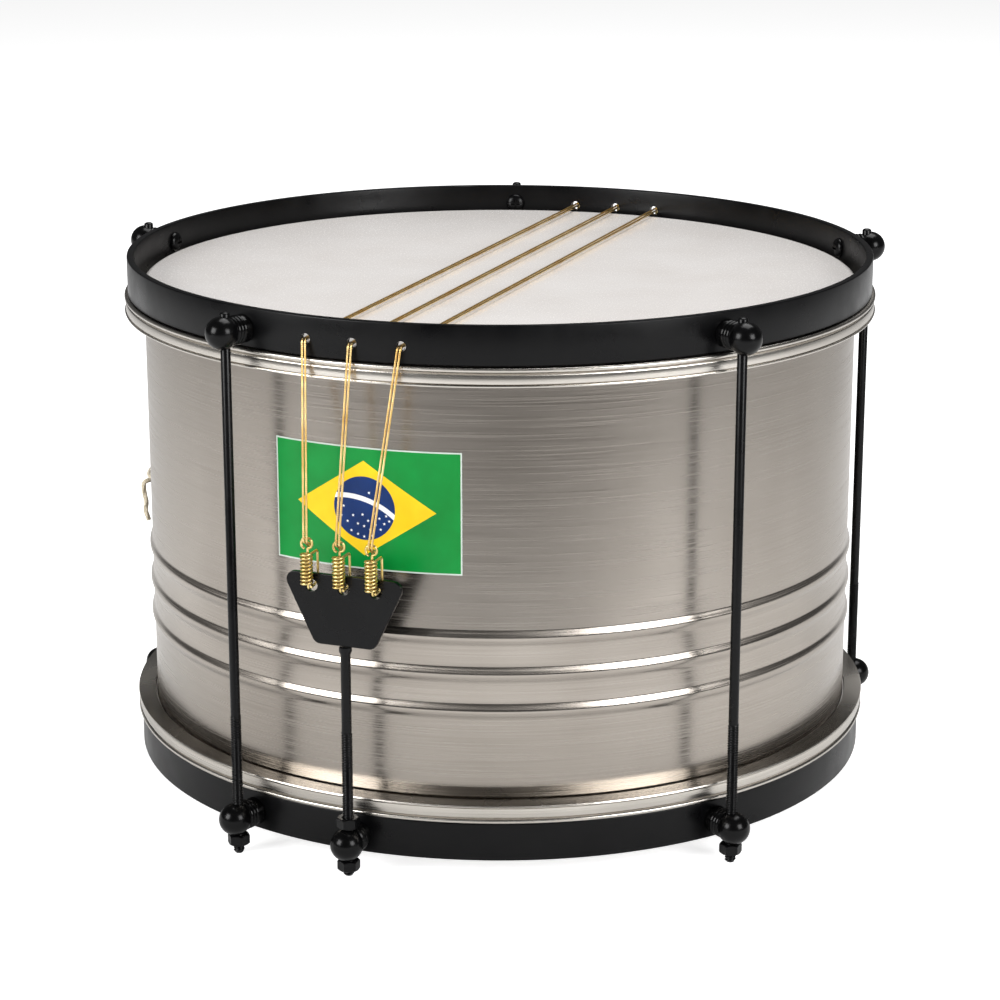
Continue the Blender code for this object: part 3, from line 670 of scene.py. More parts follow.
def screw_mesh():
    """A round-headed screw with a cross recess."""
    seat = -(HOOP_THICKNESS + 2 * FIT)
    crown = seat - SCREW_HEAD_HEIGHT
    dome = [(SCREW_HEAD_RADIUS * math.cos(math.radians(angle)),
             seat - SCREW_HEAD_HEIGHT * math.sin(math.radians(angle))) for angle in DOME_ANGLES]
    shank = [(0.0, SCREW_BITE), (SCREW_RADIUS - SCREW_CHAMFER, SCREW_BITE),
             (SCREW_RADIUS, SCREW_BITE - SCREW_CHAMFER), (SCREW_RADIUS, seat)]
    screw = turned("screw_blank", shank + dome + [(0.0, crown)], ROUND_STEPS)
    shape = bmesh.new()
    for turn in (0, math.pi / 2):
        place = Matrix.Translation((0.0, 0.0, crown)) @ Matrix.Rotation(turn, 4, 'Z')
        bmesh.ops.create_cube(shape, size=1.0, matrix=place @ Matrix.Diagonal((*RECESS_SIZE, 1.0)))
    driver = linked("driver_recess", plain_mesh(shape, "driver_recess"))
    return cut_with(screw, driver, crossing=True)


lug_screw = screw_mesh()
print("screw faces:", len(lug_screw.polygons))

# %% [markdown]
# ## Lugs on the hoops
# Five lugs stand on each hoop, and one more on the lower hoop holds the snare rod. A
# lug and its screw always go together, so one function stands both in their place.

# %% Lugs on the hoops
def place_lug(names, nodes, lug, azimuth, height, body):
    """Stand copies of a lug and its screw on a counter hoop, pointing out."""
    place = Matrix.Translation(on_circle(azimuth, HOOP_OUTER + FIT, height)) @ outwards(azimuth)
    for name, node, mesh in zip(names, nodes, (lug, lug_screw)):
        piece = new_object(name, mesh.copy())
        piece.matrix_world = place
        dress(piece, LUG_PAINT, body, "black_steel", node)


for n, azimuth in enumerate(LUG_AZIMUTHS, start=1):
    place_lug((f"upper_ball_lug_{n}", f"upper_screw_{n}"), (f"batter_lug_{n}", f"batter_lug_screw_{n}"),
              upper_lug, azimuth, BATTER_LUG_Z, "drum")
    place_lug((f"lower_ball_lug_{n}", f"lower_screw_{n}"), (f"resonant_lug_{n}", f"resonant_lug_screw_{n}"),
              lower_lug, azimuth, RESONANT_LUG_Z, "resonant_hoop")
place_lug(("snare_ball_lug", "snare_ball_screw"), ("snare_lug", "snare_lug_screw"), lower_lug, 0.0,
          RESONANT_LUG_Z, "resonant_hoop")
print("lugs placed:", 2 * len(LUG_AZIMUTHS) + 1)

# %% [markdown]
# ## Rods
# The rods are plain above and threaded below, with 24 turns to the inch. A bump could
# draw the thread, but it would be missing from the rod's outline. So it is in the mesh:
# each ring of points is pushed in and out by a wave that climbs once per turn, which
# gives a right-hand thread.

# %% Rods
THREAD_PITCH = 25.4 * MM / 24
THREAD_DEPTH = 0.42 * MM
THREAD_SHARP = math.radians(50)
ROD_SIDES = 20
ROWS_PER_TURN = 6
ROD_TOP = 205.6 * MM
ROD_TIP = -18.4 * MM
THREAD_TOP = 40.2 * MM
CHAMFER = 0.8 * MM
# Points as a radius and a drop below the rod's top: its riveted end.
RIVET_POINTS = ((0.6 * MM, 0.0), (1.3 * MM, 0.15 * MM), (1.8 * MM, 0.5 * MM), (ROD_RADIUS, CHAMFER))


def rod_object(name, head, thread_top, tip):
    """A rod from its own head profile of (radius, height) down through a thread to its tip."""
    thread = thread_top - tip - CHAMFER
    count = round(thread / THREAD_PITCH * ROWS_PER_TURN)
    rows = [(radius, height, 0.0) for radius, height in head]
    rows.append((ROD_RADIUS, thread_top + CHAMFER, 0.0))
    rows += [(THREAD_RADIUS, thread_top - thread * step / count, THREAD_DEPTH) for step in range(count + 1)]
    rows.append((THREAD_RADIUS - CHAMFER, tip, 0.0))
    shape = bmesh.new()
    rings = []
    for radius, height, depth in rows:
        ring = []
        for side in range(ROD_SIDES):
            angle = 2 * math.pi * side / ROD_SIDES
            groove = depth * (0.5 - 0.5 * math.cos(2 * math.pi * height / THREAD_PITCH - angle))
            reach = radius - groove
            ring.append(shape.verts.new((reach * math.cos(angle), reach * math.sin(angle), height)))
        rings.append(ring)
    for here, there in zip(rings, rings[1:]):
        band(shape, here, there)
    shape.faces.new(rings[0])
    shape.faces.new(rings[-1][::-1])
    return closed_object(name, shape, THREAD_SHARP)


plain_head = [(radius, ROD_TOP - drop) for radius, drop in RIVET_POINTS]
for number, azimuth in enumerate(LUG_AZIMUTHS, start=1):
    rod = rod_object(f"tension_rod_{number}_threaded", plain_head, THREAD_TOP, ROD_TIP)
    rod.location = on_circle(azimuth, ROD_CIRCLE, 0.0)
    rod.rotation_euler = (0.0, 0.0, azimuth)
    bpy.context.view_layer.update()
    dress(rod, ROD_PAINT, "drum", "black_steel", f"tension_rod_{number}")
print("thread pitch, mm:", round(THREAD_PITCH / MM, 3))

# %% [markdown]
# ## Nuts
# Each nut is a hexagon with its corners turned away at both faces. That shape is what
# a hexagonal bar and a chamfered disc have in common, so the two are intersected.

# %% Nuts
NUT_FLATS = 8.0 * MM
NUT_HEIGHT = 4.2 * MM
NUT_Z = -14.6 * MM
SNARE_NUT_Z = 3.4 * MM
NUT_FACE_INSET = 0.15 * MM
NUT_BEVEL = 0.6 * MM
PAST_CORNER = 0.1 * MM
DISC_STEPS = 48


def nut_mesh():
    """A hexagon chamfered by a disc and bored for the thread."""
    corner = NUT_FLATS / 2 / math.cos(math.pi / 6)
    middle = Matrix.Translation((0.0, 0.0, NUT_HEIGHT / 2))
    bar = drills("hexagon_bar", [(middle, corner, NUT_HEIGHT)], 6)
    rim = NUT_FLATS / 2 - NUT_FACE_INSET
    outer = corner + PAST_CORNER
    disc = turned("chamfered_disc", [(0.0, NUT_HEIGHT), (rim, NUT_HEIGHT), (outer, NUT_HEIGHT - NUT_BEVEL),
                                     (outer, NUT_BEVEL), (rim, 0.0), (0.0, 0.0)], DISC_STEPS)
    body = new_object("nut_blank", cut_with(bar, disc, 'INTERSECT'))
    return cut_with(body, drills("nut_bore", [(middle, THREAD_RADIUS + FIT, 3 * NUT_HEIGHT)]))


hexagon_nut = nut_mesh()
NUT_PLACES = [(f"rod_nut_{n}", f"tension_nut_{n}", f"nut_{n}", azimuth, NUT_Z)
              for n, azimuth in enumerate(LUG_AZIMUTHS, start=1)]
NUT_PLACES += [("upper_snare_nut", "snare_nut_upper", "snare_nut_above", 0.0, SNARE_NUT_Z),
               ("lower_snare_nut", "snare_nut_lower", "snare_nut_below", 0.0, NUT_Z)]
for name, node, body, azimuth, height in NUT_PLACES:
    nut = new_object(name, hexagon_nut.copy())
    place = Matrix.Translation(on_circle(azimuth, ROD_CIRCLE, height))
    nut.matrix_world = place @ Matrix.Rotation(azimuth, 4, 'Z')
    dress(nut, ROD_PAINT, body, "black_steel", node)
print("nuts:", len(NUT_PLACES))

# %% [markdown]
# ## Routes for wires
# A wire's route is a list of corners, rounded to a bend radius. A bevelled curve could
# draw a plain wire, but not the strands that wind round one. So a tube is swept along
# the route with a frame that turns as little as possible, and its surface can rise in
# helical strands, as a wound string's and a laid cord's do.

# %% Wire helpers
LEAST_TURN = math.radians(2)
WIRE_SHARP = math.radians(60)


def bent(route, radius, steps=6):
    """A route of straight runs whose corners are rounded."""
    points = [Vector(route[0])]
    for before, corner, after in zip(route, route[1:], route[2:]):
        corner = Vector(corner)
        arriving = (corner - Vector(before)).normalized()
        leaving = (Vector(after) - corner).normalized()
        turn = arriving.angle(leaving)
        if turn < LEAST_TURN:
            points.append(corner)
            continue
        start = corner - arriving * radius * math.tan(turn / 2)
        centre = corner + (leaving - arriving).normalized() * (radius / math.cos(turn / 2))
        axis = arriving.cross(leaving).normalized()
        for step in range(steps + 1):
            points.append(centre + Matrix.Rotation(turn * step / steps, 3, axis) @ (start - centre))
    points.append(Vector(route[-1]))
    return points


def spaced(points, spacing):
    """Points at an even spacing along a route."""
    result = [points[0]]
    left = spacing
    for here, there in zip(points, points[1:]):
        run = (there - here).length
        place = left
        while place < run:
            result.append(here.lerp(there, place / run))
            place += spacing
        left = place - run
    if (result[-1] - points[-1]).length < spacing / 2:
        result.pop()
    return result + [points[-1]]


def laid_tube(name, points, radius, depth=0.0, lay=1.0, strands=1, sides=10, spacing=0.5 * MM):
    """A closed tube whose surface rises in helical strands; lay is the length of one turn."""
    route = spaced(points, spacing)
    shape = bmesh.new()
    ways = [(after - before).normalized() for before, after in zip(route[:-1], route[1:])]
    ways = [ways[0]] + [(a + b).normalized() for a, b in zip(ways, ways[1:])] + [ways[-1]]
    side_way = ways[0].orthogonal().normalized()
    rings = []
    along = 0.0
    for place, (point, way) in enumerate(zip(route, ways)):
        if place:
            along += (point - route[place - 1]).length
        side_way = (side_way - way * side_way.dot(way)).normalized()
        other_way = way.cross(side_way)
        ring = []
        for side in range(sides):
            angle = 2 * math.pi * side / sides
            rise = radius - depth * (0.5 - 0.5 * math.cos(strands * angle - 2 * math.pi * along / lay))
            spoke = side_way * math.cos(angle) + other_way * math.sin(angle)
            ring.append(shape.verts.new(point + spoke * rise))
        rings.append(ring)
    for here, there in zip(rings, rings[1:]):
        band(shape, here, there)
    shape.faces.new(rings[0][::-1])
    shape.faces.new(rings[-1])
    return closed_object(name, shape, WIRE_SHARP)


print("wire helpers ready")

# %% [markdown]
# ## Snare plate and rod
# The plate is cut from 2 mm steel, tapered and pierced by three holes. It could be
# drilled like the hoops, but one filled curve gives the outline and its holes at once,
# and its bevel softens the edges as paint does. The rod's top is welded under the
# plate.

# %% Snare plate and rod
PLATE_BOTTOM = 78.9 * MM
PLATE_HEIGHT = 28.5 * MM
PLATE_TOP_WIDTH = 52.6 * MM
PLATE_BOTTOM_WIDTH = 25.0 * MM
PLATE_THICKNESS = 2.0 * MM
PLATE_CORNER = 3.5 * MM
PLATE_HOLE_RADIUS = 2.45 * MM
PLATE_HOLE_DROP = 5.0 * MM
PLATE_HOLE_Z = PLATE_BOTTOM + PLATE_HEIGHT - PLATE_HOLE_DROP
PLATE_HOLE_X = (-13.5 * MM, 0.0, 13.5 * MM)
EDGE_SOFTNESS = 0.25 * MM
SNARE_THREAD_TOP = 43.0 * MM
SNARE_ROD_TIP = -17.0 * MM
# Points as a radius and a drop below the plate: the weld, down to the bare rod.
WELD_POINTS = ((1.6 * MM, 0.0), (2.5 * MM, 0.1 * MM), (2.6 * MM, 1.4 * MM), (2.35 * MM, 2.3 * MM),
               (ROD_RADIUS, 3.0 * MM))

plate_curve = bpy.data.curves.new("plate_outline", 'CURVE')
plate_curve.dimensions = '2D'
plate_curve.fill_mode = 'BOTH'
plate_curve.extrude = PLATE_THICKNESS / 2 - EDGE_SOFTNESS
plate_curve.bevel_depth = EDGE_SOFTNESS
plate_curve.offset = -EDGE_SOFTNESS
plate_curve.bevel_resolution = 2
plate_top = PLATE_BOTTOM + PLATE_HEIGHT
plate_route = [(0.0, plate_top, 0.0), (PLATE_TOP_WIDTH / 2, plate_top, 0.0),
               (PLATE_BOTTOM_WIDTH / 2, PLATE_BOTTOM, 0.0), (-PLATE_BOTTOM_WIDTH / 2, PLATE_BOTTOM, 0.0),
               (-PLATE_TOP_WIDTH / 2, plate_top, 0.0), (0.0, plate_top, 0.0)]
outlines = [[(point.x, point.y) for point in bent(plate_route, PLATE_CORNER)[:-1]]]
outlines += [arc((x, PLATE_HOLE_Z), PLATE_HOLE_RADIUS, 0, -360, ROUND_STEPS)[:-1] for x in PLATE_HOLE_X]
for outline in outlines:
    spline = plate_curve.splines.new('POLY')
    spline.points.add(len(outline) - 1)
    spline.use_cyclic_u = True
    for target, (x, z) in zip(spline.points, outline):
        target.co = (x, z, 0.0, 1.0)
plate = new_object("tapered_snare_plate", baked(linked("plate_outline", plate_curve)))
plate.matrix_world = Matrix.Translation((0.0, -ROD_CIRCLE, 0.0)) @ Matrix.Rotation(math.pi / 2, 4, 'X')
dress(plate, ROD_PAINT, "snare", "black_steel", "snare_plate")

weld_head = [(radius, PLATE_BOTTOM - FIT - drop) for radius, drop in WELD_POINTS]
snare_rod = rod_object("snare_rod_threaded", weld_head, SNARE_THREAD_TOP, SNARE_ROD_TIP)
snare_rod.matrix_world = Matrix.Translation((0.0, -ROD_CIRCLE, 0.0))
dress(snare_rod, ROD_PAINT, "snare", "black_steel", "snare_rod")
print("plate holes at height, mm:", round(PLATE_HOLE_Z / MM, 1))

# %% [markdown]
# ## Ties
# Each tie is one wire. It makes an eye for the string, drops as a leg, turns back
# through the plate's hole, climbs behind the plate and then wraps the leg nine times.
# Separate rings could stand for the wrap, but one route shows how the wire runs.

# %% Ties
TIE_RADIUS = 0.5 * MM
TIE_TURNS = 9
TIE_PITCH = 1.45 * MM
COIL_RADIUS = 2.1 * MM
COIL_SHIFT = 0.6 * MM
TIE_BEND = 1.2 * MM
TIE_FRONT = PLATE_THICKNESS / 2 + FIT + COIL_RADIUS + TIE_RADIUS
TIE_BACK_GAP = 0.5 * MM
TIE_BACK = PLATE_THICKNESS / 2 + TIE_RADIUS + TIE_BACK_GAP
LEG_DROP = 0.7 * MM
LEG_Z = PLATE_HOLE_Z - LEG_DROP
COIL_ABOVE_LEG = 1.45 * MM
COIL_TOP = LEG_Z + COIL_ABOVE_LEG + TIE_TURNS * TIE_PITCH
EYE_RADIUS = 2.15 * MM
EYE_ABOVE_COIL = 4.2 * MM
EYE_Z = COIL_TOP + EYE_ABOVE_COIL
EYE_OVERLAP = 1.3 * MM
EYE_START = -110
EYE_SWEEP = -340
TURN_POINTS = 24


def tie_route(x):
    """The wire of one tie, through the plate's hole at x."""
    front = -(ROD_CIRCLE + TIE_FRONT)
    back = TIE_BACK - ROD_CIRCLE
    coil_x = x - COIL_SHIFT
    rise_x = coil_x + COIL_RADIUS
    points = []
    for step in range(TURN_POINTS):
        share = step / TURN_POINTS
        angle = math.radians(EYE_START + EYE_SWEEP * share)
        points.append(Vector((x + EYE_RADIUS * math.cos(angle), front - EYE_OVERLAP * (1 - share),
                              EYE_Z + EYE_RADIUS * math.sin(angle))))
    leg = [(x, front, EYE_Z - EYE_RADIUS), (x, front, LEG_Z), (x, back, LEG_Z),
           (rise_x, back, LEG_Z + 3 * TIE_BEND), (rise_x, back, COIL_TOP), (rise_x, front, COIL_TOP)]
    points += bent(leg, TIE_BEND)
    for step in range(1, TIE_TURNS * TURN_POINTS + 1):
        turns = step / TURN_POINTS
        angle = 2 * math.pi * turns
        points.append(Vector((coil_x + COIL_RADIUS * math.cos(angle), front - COIL_RADIUS * math.sin(angle),
                              COIL_TOP - TIE_PITCH * turns)))
    way = (points[-1] - points[-2]).normalized()
    return points + [points[-1] + way * 2 * TIE_RADIUS]


for number, x in enumerate(PLATE_HOLE_X, start=1):
    tie = laid_tube(f"wire_tie_{number}", tie_route(x), TIE_RADIUS, spacing=0.4 * MM)
    dress(tie, TIE_BRONZE, "snare", "bronze_wire", f"snare_tie_{number}")
print("tie turns:", TIE_TURNS)

# %% [markdown]
# ## Strings
# A string is a core wound with fine bronze wire, laid double. Both strands run from the
# tie's eye through the hoop's front hole, over the head and out at the rear, where they
# fold round a toggle. The winding is drawn coarser than a real one, or it would not
# show.

# %% Strings and toggles
STRING_RADIUS = 0.48 * MM
STRAND_OFFSET = 0.65 * MM
STRING_BEND = 1.4 * MM
STRING_TAIL = 1.8 * MM
FOLD_SPREAD = 1.05 * MM
FOLD_ROOM = 0.45 * MM
FOLD_ANGLES = range(0, 181, 15)
TOGGLE_RADIUS = 0.7 * MM
TOGGLE_LENGTH = 9.0 * MM
TOGGLE_END_RADIUS = 0.5 * MM
TOGGLE_CHAMFER = 0.25 * MM
TOGGLE_STEPS = 24
CAD_FACETS = 40
WINDING_PITCH = 0.75 * MM
WINDING_DEPTH = 0.07 * MM


def hoop_depth(x):
    """How far back the corners of the CAD's faceted hoop reach at x."""
    return math.sqrt((HOOP_OUTER / math.cos(math.pi / CAD_FACETS)) ** 2 - x ** 2)


def strand(hole_x, eye_x, side):
    """One strand from its tail in the tie's eye to the rear hole; side is -1 or 1."""
    eye_y = -(ROD_CIRCLE + TIE_FRONT)
    front_y = eye_y - EYE_OVERLAP / 2 - TIE_RADIUS - 2 * FIT - STRING_RADIUS
    drop_y = -(hoop_depth(hole_x) + 2 * FIT + STRING_RADIUS)
    low_x = eye_x + side * STRAND_OFFSET
    route = [(low_x, eye_y + STRING_TAIL, EYE_Z - STRING_TAIL), (low_x, eye_y, EYE_Z),
             (low_x, front_y, EYE_Z + EYE_RADIUS / 3), (hole_x + side * STRAND_OFFSET, drop_y, STRING_Z),
             (hole_x + side * FOLD_SPREAD, hoop_depth(hole_x), STRING_Z)]
    return bent(route, STRING_BEND)


def string_route(hole_x, eye_x):
    """Both strands, joined by the fold behind the toggle."""
    toggle_y = hoop_depth(hole_x) + FIT + TOGGLE_RADIUS
    fold = TOGGLE_RADIUS + FIT + FOLD_ROOM
    turn = [Vector((hole_x - fold * math.cos(angle), toggle_y + fold * math.sin(angle), STRING_Z))
            for angle in map(math.radians, FOLD_ANGLES)]
    return strand(hole_x, eye_x, -1) + turn + strand(hole_x, eye_x, 1)[::-1]


pin_half = [(0.0, TOGGLE_LENGTH / 2), (TOGGLE_END_RADIUS, TOGGLE_LENGTH / 2),
            (TOGGLE_RADIUS, TOGGLE_LENGTH / 2 - TOGGLE_CHAMFER)]
pin = pin_half + [(radius, -height) for radius, height in pin_half[::-1]]
for number, (hole_x, eye_x) in enumerate(zip(STRING_X, PLATE_HOLE_X), start=1):
    string = laid_tube(f"wound_string_{number}", string_route(hole_x, eye_x), STRING_RADIUS, WINDING_DEPTH,
                       WINDING_PITCH, spacing=0.25 * MM)
    string.data.materials.append(STRING_BRONZE)
    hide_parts(f"snare_string_{number}")
    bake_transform(string)
    toggle = turned(f"fold_pin_{number}", pin, TOGGLE_STEPS)
    toggle.matrix_world = Matrix.Translation((hole_x, hoop_depth(hole_x) + FIT + TOGGLE_RADIUS, STRING_Z))
    dress(toggle, TIE_BRONZE, "drum", "bronze_wire", f"string_toggle_{number}")
print("string faces:", len(string.data.polygons))

# %% [markdown]
# ## Shapes of the flag
# The flag's plain shapes are a rhombus, a disc and a band that is part of a large ring.
# A picture could be laid on the shell, but shapes that Math nodes draw stay sharp at
# any size. They start from two lengths in millimetres: u runs round the shell and v up
# it.

# %% Shapes of the flag
FLAG_LEFT = -38.0
FLAG_RIGHT = 40.7
FLAG_LOW = 105.5
FLAG_HIGH = 154.7
DISC_U = 1.4
DISC_V = 130.2
DISC_RADIUS = 12.8
RHOMBUS_HALF = (29.25, 19.1)
BAND_CENTRE = (-7.3, -25.6)
BAND_RADII = (29.2, 31.2)
BORDER = 0.6

# Each row is a result, the operation of a Math node and its two values. The first rows
# start from the place x, y, z.
FLAG_SUMS = [
    ("front", 'MULTIPLY', "y", -1.0),
    ("turn", 'ARCTAN2', "x", "front"),
    ("u", 'MULTIPLY', "turn", SHELL_RADIUS / MM),
    ("v", 'MULTIPLY', "z", 1 / MM),
]
for way, disc, half, ring, low, high in (
        ("u", DISC_U, RHOMBUS_HALF[0], BAND_CENTRE[0], FLAG_LEFT, FLAG_RIGHT),
        ("v", DISC_V, RHOMBUS_HALF[1], BAND_CENTRE[1], FLAG_LOW, FLAG_HIGH)):
    FLAG_SUMS += [
        (f"disc_{way}", 'SUBTRACT', way, disc),
        (f"across_{way}", 'ABSOLUTE', f"disc_{way}", 0.0),
        (f"share_{way}", 'DIVIDE', f"across_{way}", half),
        (f"disc_{way}_squared", 'POWER', f"disc_{way}", 2.0),
        (f"ring_{way}", 'SUBTRACT', f"disc_{way}", ring),
        (f"ring_{way}_squared", 'POWER', f"ring_{way}", 2.0),
        (f"middle_{way}", 'SUBTRACT', way, (low + high) / 2),
        (f"from_middle_{way}", 'ABSOLUTE', f"middle_{way}", 0.0),
        (f"edge_{way}", 'GREATER_THAN', f"from_middle_{way}", (high - low) / 2 - BORDER),
    ]
FLAG_SUMS += [
    ("reach", 'ADD', "share_u", "share_v"),
    ("rhombus", 'LESS_THAN', "reach", 1.0),
    ("disc_squared", 'ADD', "disc_u_squared", "disc_v_squared"),
    ("from_disc", 'SQRT', "disc_squared", 0.0),
    ("disc", 'LESS_THAN', "from_disc", DISC_RADIUS),
    ("ring_squared", 'ADD', "ring_u_squared", "ring_v_squared"),
    ("from_ring", 'SQRT', "ring_squared", 0.0),
    ("past_inner", 'GREATER_THAN', "from_ring", BAND_RADII[0]),
    ("within_outer", 'LESS_THAN', "from_ring", BAND_RADII[1]),
    ("ring", 'MULTIPLY', "past_inner", "within_outer"),
    ("band", 'MULTIPLY', "ring", "disc"),
    ("border", 'MAXIMUM', "edge_u", "edge_v"),
]
print("sums for the flag:", len(FLAG_SUMS))

# %% [markdown]
# ## Flag decal
# The flag is printed vinyl, about a tenth of a millimetre thick, stuck to the shell. It
# is smooth with a soft gloss, and its ink is a little cloudy. Each ink is laid over the
# last, as a printer does. The sheet is a part turn of a thin ring, so it follows the
# shell exactly.

# %% Flag decal
FLAG_RADIUS = 152.62 * MM
FLAG_THICKNESS = 0.12 * MM
FLAG_STEPS = 40
INK_CELLS = 70.0
INK_DEPTH = 0.05 * MM
FLAG_GREENS = ("#007a2c", "#008a38")
FLAG_INKS = (("rhombus", "#eabf10", "#f5d020"), ("disc", "#02275c", "#053274"),
             ("band", "#e6e9ec", "#f4f6f8"), ("border", "#b9c6bd", "#c9d4cc"))


def flag_vinyl():
    """Vinyl with each printed shape laid over the last."""
    material, tree, shader = new_finish("printed_flag_vinyl", {"Roughness": 0.35, "Specular IOR Level": 0.25})
    place = add_node(tree, "ShaderNodeTexCoord")
    parts = add_node(tree, "ShaderNodeSeparateXYZ", {}, {0: place.outputs["Object"]})
    values = {"x": parts.outputs["X"], "y": parts.outputs["Y"], "z": parts.outputs["Z"]}
    for result, operation, *terms in FLAG_SUMS:
        settings = {slot: term for slot, term in enumerate(terms) if term not in values}
        links = {slot: values[term] for slot, term in enumerate(terms) if term in values}
        sum_node = add_node(tree, "ShaderNodeMath", {"operation": operation, **settings}, links)
        values[result] = sum_node.outputs["Value"]
    ink = grain(tree, INK_CELLS, 3.0)
    colour = spread(tree, ink, *FLAG_GREENS)
    for shape, dark, light in FLAG_INKS:
        mix = add_node(tree, "ShaderNodeMixRGB", {}, {
            "Fac": values[shape], "Color1": colour, "Color2": spread(tree, ink, dark, light)})
        colour = mix.outputs["Color"]
    drive(tree, shader, {"Base Color": colour}, bumps=(ink, 0.08, INK_DEPTH))
    return material


FLAG_FACE = FLAG_RADIUS + FLAG_THICKNESS
flag_profile = [(FLAG_FACE, FLAG_HIGH * MM), (FLAG_FACE, FLAG_LOW * MM), (FLAG_RADIUS, FLAG_LOW * MM),
                (FLAG_RADIUS, FLAG_HIGH * MM)]
flag = swept("flag_vinyl", flag_profile, FLAG_STEPS, FLAG_LEFT * MM / SHELL_RADIUS,
             (FLAG_RIGHT - FLAG_LEFT) * MM / SHELL_RADIUS)
dress(flag, flag_vinyl(), "drum", "printed_vinyl", "flag_decal")
print("flag width, mm:", round(FLAG_RIGHT - FLAG_LEFT, 1), "height:", round(FLAG_HIGH - FLAG_LOW, 1))

# %% [markdown]
# ## Stars on the flag
# The disc's stars are only specks at this size, so their places are listed, in
# millimetres from the disc's middle. Each is a five-pointed outline of thin print,
# wrapped onto the vinyl.

# %% Stars on the flag
STAR_PLACES = (
    (-8.6, 0.2), (-9.6, -3.6), (-7.0, -5.8), (-4.6, -3.2), (-2.6, -6.4), (-5.4, -9.4), (-0.6, -2.6),
    (0.0, -7.2), (0.0, -11.4), (1.7, -4.9), (2.6, -8.4), (4.2, -1.6), (4.8, -6.2), (6.4, -3.6),
    (6.9, -8.0), (8.4, -5.6), (9.2, -2.4), (10.4, -4.4), (3.4, -10.8), (-2.6, -10.6), (2.2, 6.4),
)
STAR_SIZE = 0.62
STAR_WAIST = 0.45 * STAR_SIZE
STAR_DEPTH = 0.05 * MM
STAR_CLEARANCE = 0.01 * MM
STAR_CORNERS = 10


def star_print():
    """All the stars in one mesh."""
    shape = bmesh.new()
    inner = FLAG_FACE + STAR_CLEARANCE
    for du, dv in STAR_PLACES:
        layers = []
        for radius in (inner, inner + STAR_DEPTH):
            layer = []
            for corner in range(STAR_CORNERS):
                reach = STAR_SIZE if corner % 2 == 0 else STAR_WAIST
                angle = math.pi / 2 + corner * math.pi / 5
                u = (DISC_U + du + reach * math.cos(angle)) * MM
                v = (DISC_V + dv + reach * math.sin(angle)) * MM
                layer.append(shape.verts.new(on_circle(u / SHELL_RADIUS, radius, v)))
            layers.append(layer)
        shape.faces.new(layers[0][::-1])
        shape.faces.new(layers[1])
        band(shape, *layers)
    return closed_object("flag_stars", shape)


white_ink, ink_tree, ink_shader = new_finish("white_ink", {"Roughness": 0.35})
ink_grain = grain(ink_tree, 900.0, 2.0)
drive(ink_tree, ink_shader, {"Base Color": spread(ink_tree, ink_grain, "#dfe4ea", "#f4f6f8")})
stars = star_print()
stars.data.materials.append(white_ink)
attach(stars, "drum")
print("stars:", len(STAR_PLACES))

# %% [markdown]
# ## Cotton cord
# A short end of cotton cord is knotted round the left rod. Its route is listed in
# metres out from the rod, across it and up. Cotton cord is laid from three plies,
# so the tube rises in three strands. It is matt, with fibres that catch the light, so
# the finish has sheen and a fine fibre bump.

# %% Cotton cord
CORD_RADIUS = 1.2 * MM
CORD_HEIGHT = 85.0 * MM
CORD_LAY = 7.0 * MM
PLY_DEPTH = 0.3 * MM
FIBRE_CELLS = (2500.0, 2500.0, 700.0)
FIBRE_DEPTH = 0.2 * MM
CORD_ROUTE = (
    (0.0058, -0.0060, 0.0034), (0.0050, -0.0030, 0.0034), (0.0040, 0.0004, 0.0030),
    (0.0018, 0.0034, 0.0026), (-0.0021, 0.0032, 0.0020), (-0.0039, 0.0000, 0.0012),
    (-0.0021, -0.0033, 0.0004), (0.0016, -0.0037, -0.0002), (0.0045, -0.0018, -0.0006),
    (0.0062, 0.0010, -0.0016), (0.0062, 0.0020, -0.0048), (0.0055, 0.0014, -0.0095),
    (0.0061, 0.0008, -0.0145), (0.0050, 0.0006, -0.0195),
)


def smooth(route, per_span):
    """A Catmull-Rom curve through a route's own points."""
    knots = [Vector(point) for point in route]
    knots = [2 * knots[0] - knots[1]] + knots + [2 * knots[-1] - knots[-2]]
    points = []
    for p0, p1, p2, p3 in zip(knots, knots[1:], knots[2:], knots[3:]):
        for step in range(per_span):
            t = step / per_span
            points.append(0.5 * (2 * p1 + (p2 - p0) * t + (2 * p0 - 5 * p1 + 4 * p2 - p3) * t * t
                                 + (3 * p1 - p0 - 3 * p2 + p3) * t * t * t))
    points.append(knots[-2])
    return points


cotton, cotton_tree, cotton_shader = new_finish("laid_cotton_cord", {"Roughness": 0.9, "Sheen Weight": 0.4})
fibres = grain(cotton_tree, FIBRE_CELLS, 3.0)
drive(cotton_tree, cotton_shader, {"Base Color": spread(cotton_tree, fibres, "#b9ab90", "#e6dcc6")},
      bumps=(fibres, 0.5, FIBRE_DEPTH))

cord_azimuth = LUG_AZIMUTHS[-1]
cord_out = on_circle(cord_azimuth, 1.0, 0.0)
cord_across = Vector((0.0, 0.0, 1.0)).cross(cord_out)
cord_origin = on_circle(cord_azimuth, ROD_CIRCLE, CORD_HEIGHT)
cord_path = [cord_origin + cord_out * u + cord_across * v + Vector((0.0, 0.0, w))
             for u, v, w in smooth(CORD_ROUTE, 8)]
cord = laid_tube("cotton_tie", cord_path, CORD_RADIUS, PLY_DEPTH, CORD_LAY, strands=3, sides=24,
                 spacing=0.4 * MM)
dress(cord, cotton, "drum", "cotton", "tie_cord")

# %% [markdown]
# ## Floor
# The drum stands on its rod tips on a white studio floor. The floor adds its own white
# to what the camera sees, and a fifth of that to reflections. It still darkens where
# the drum keeps the lamps off it.

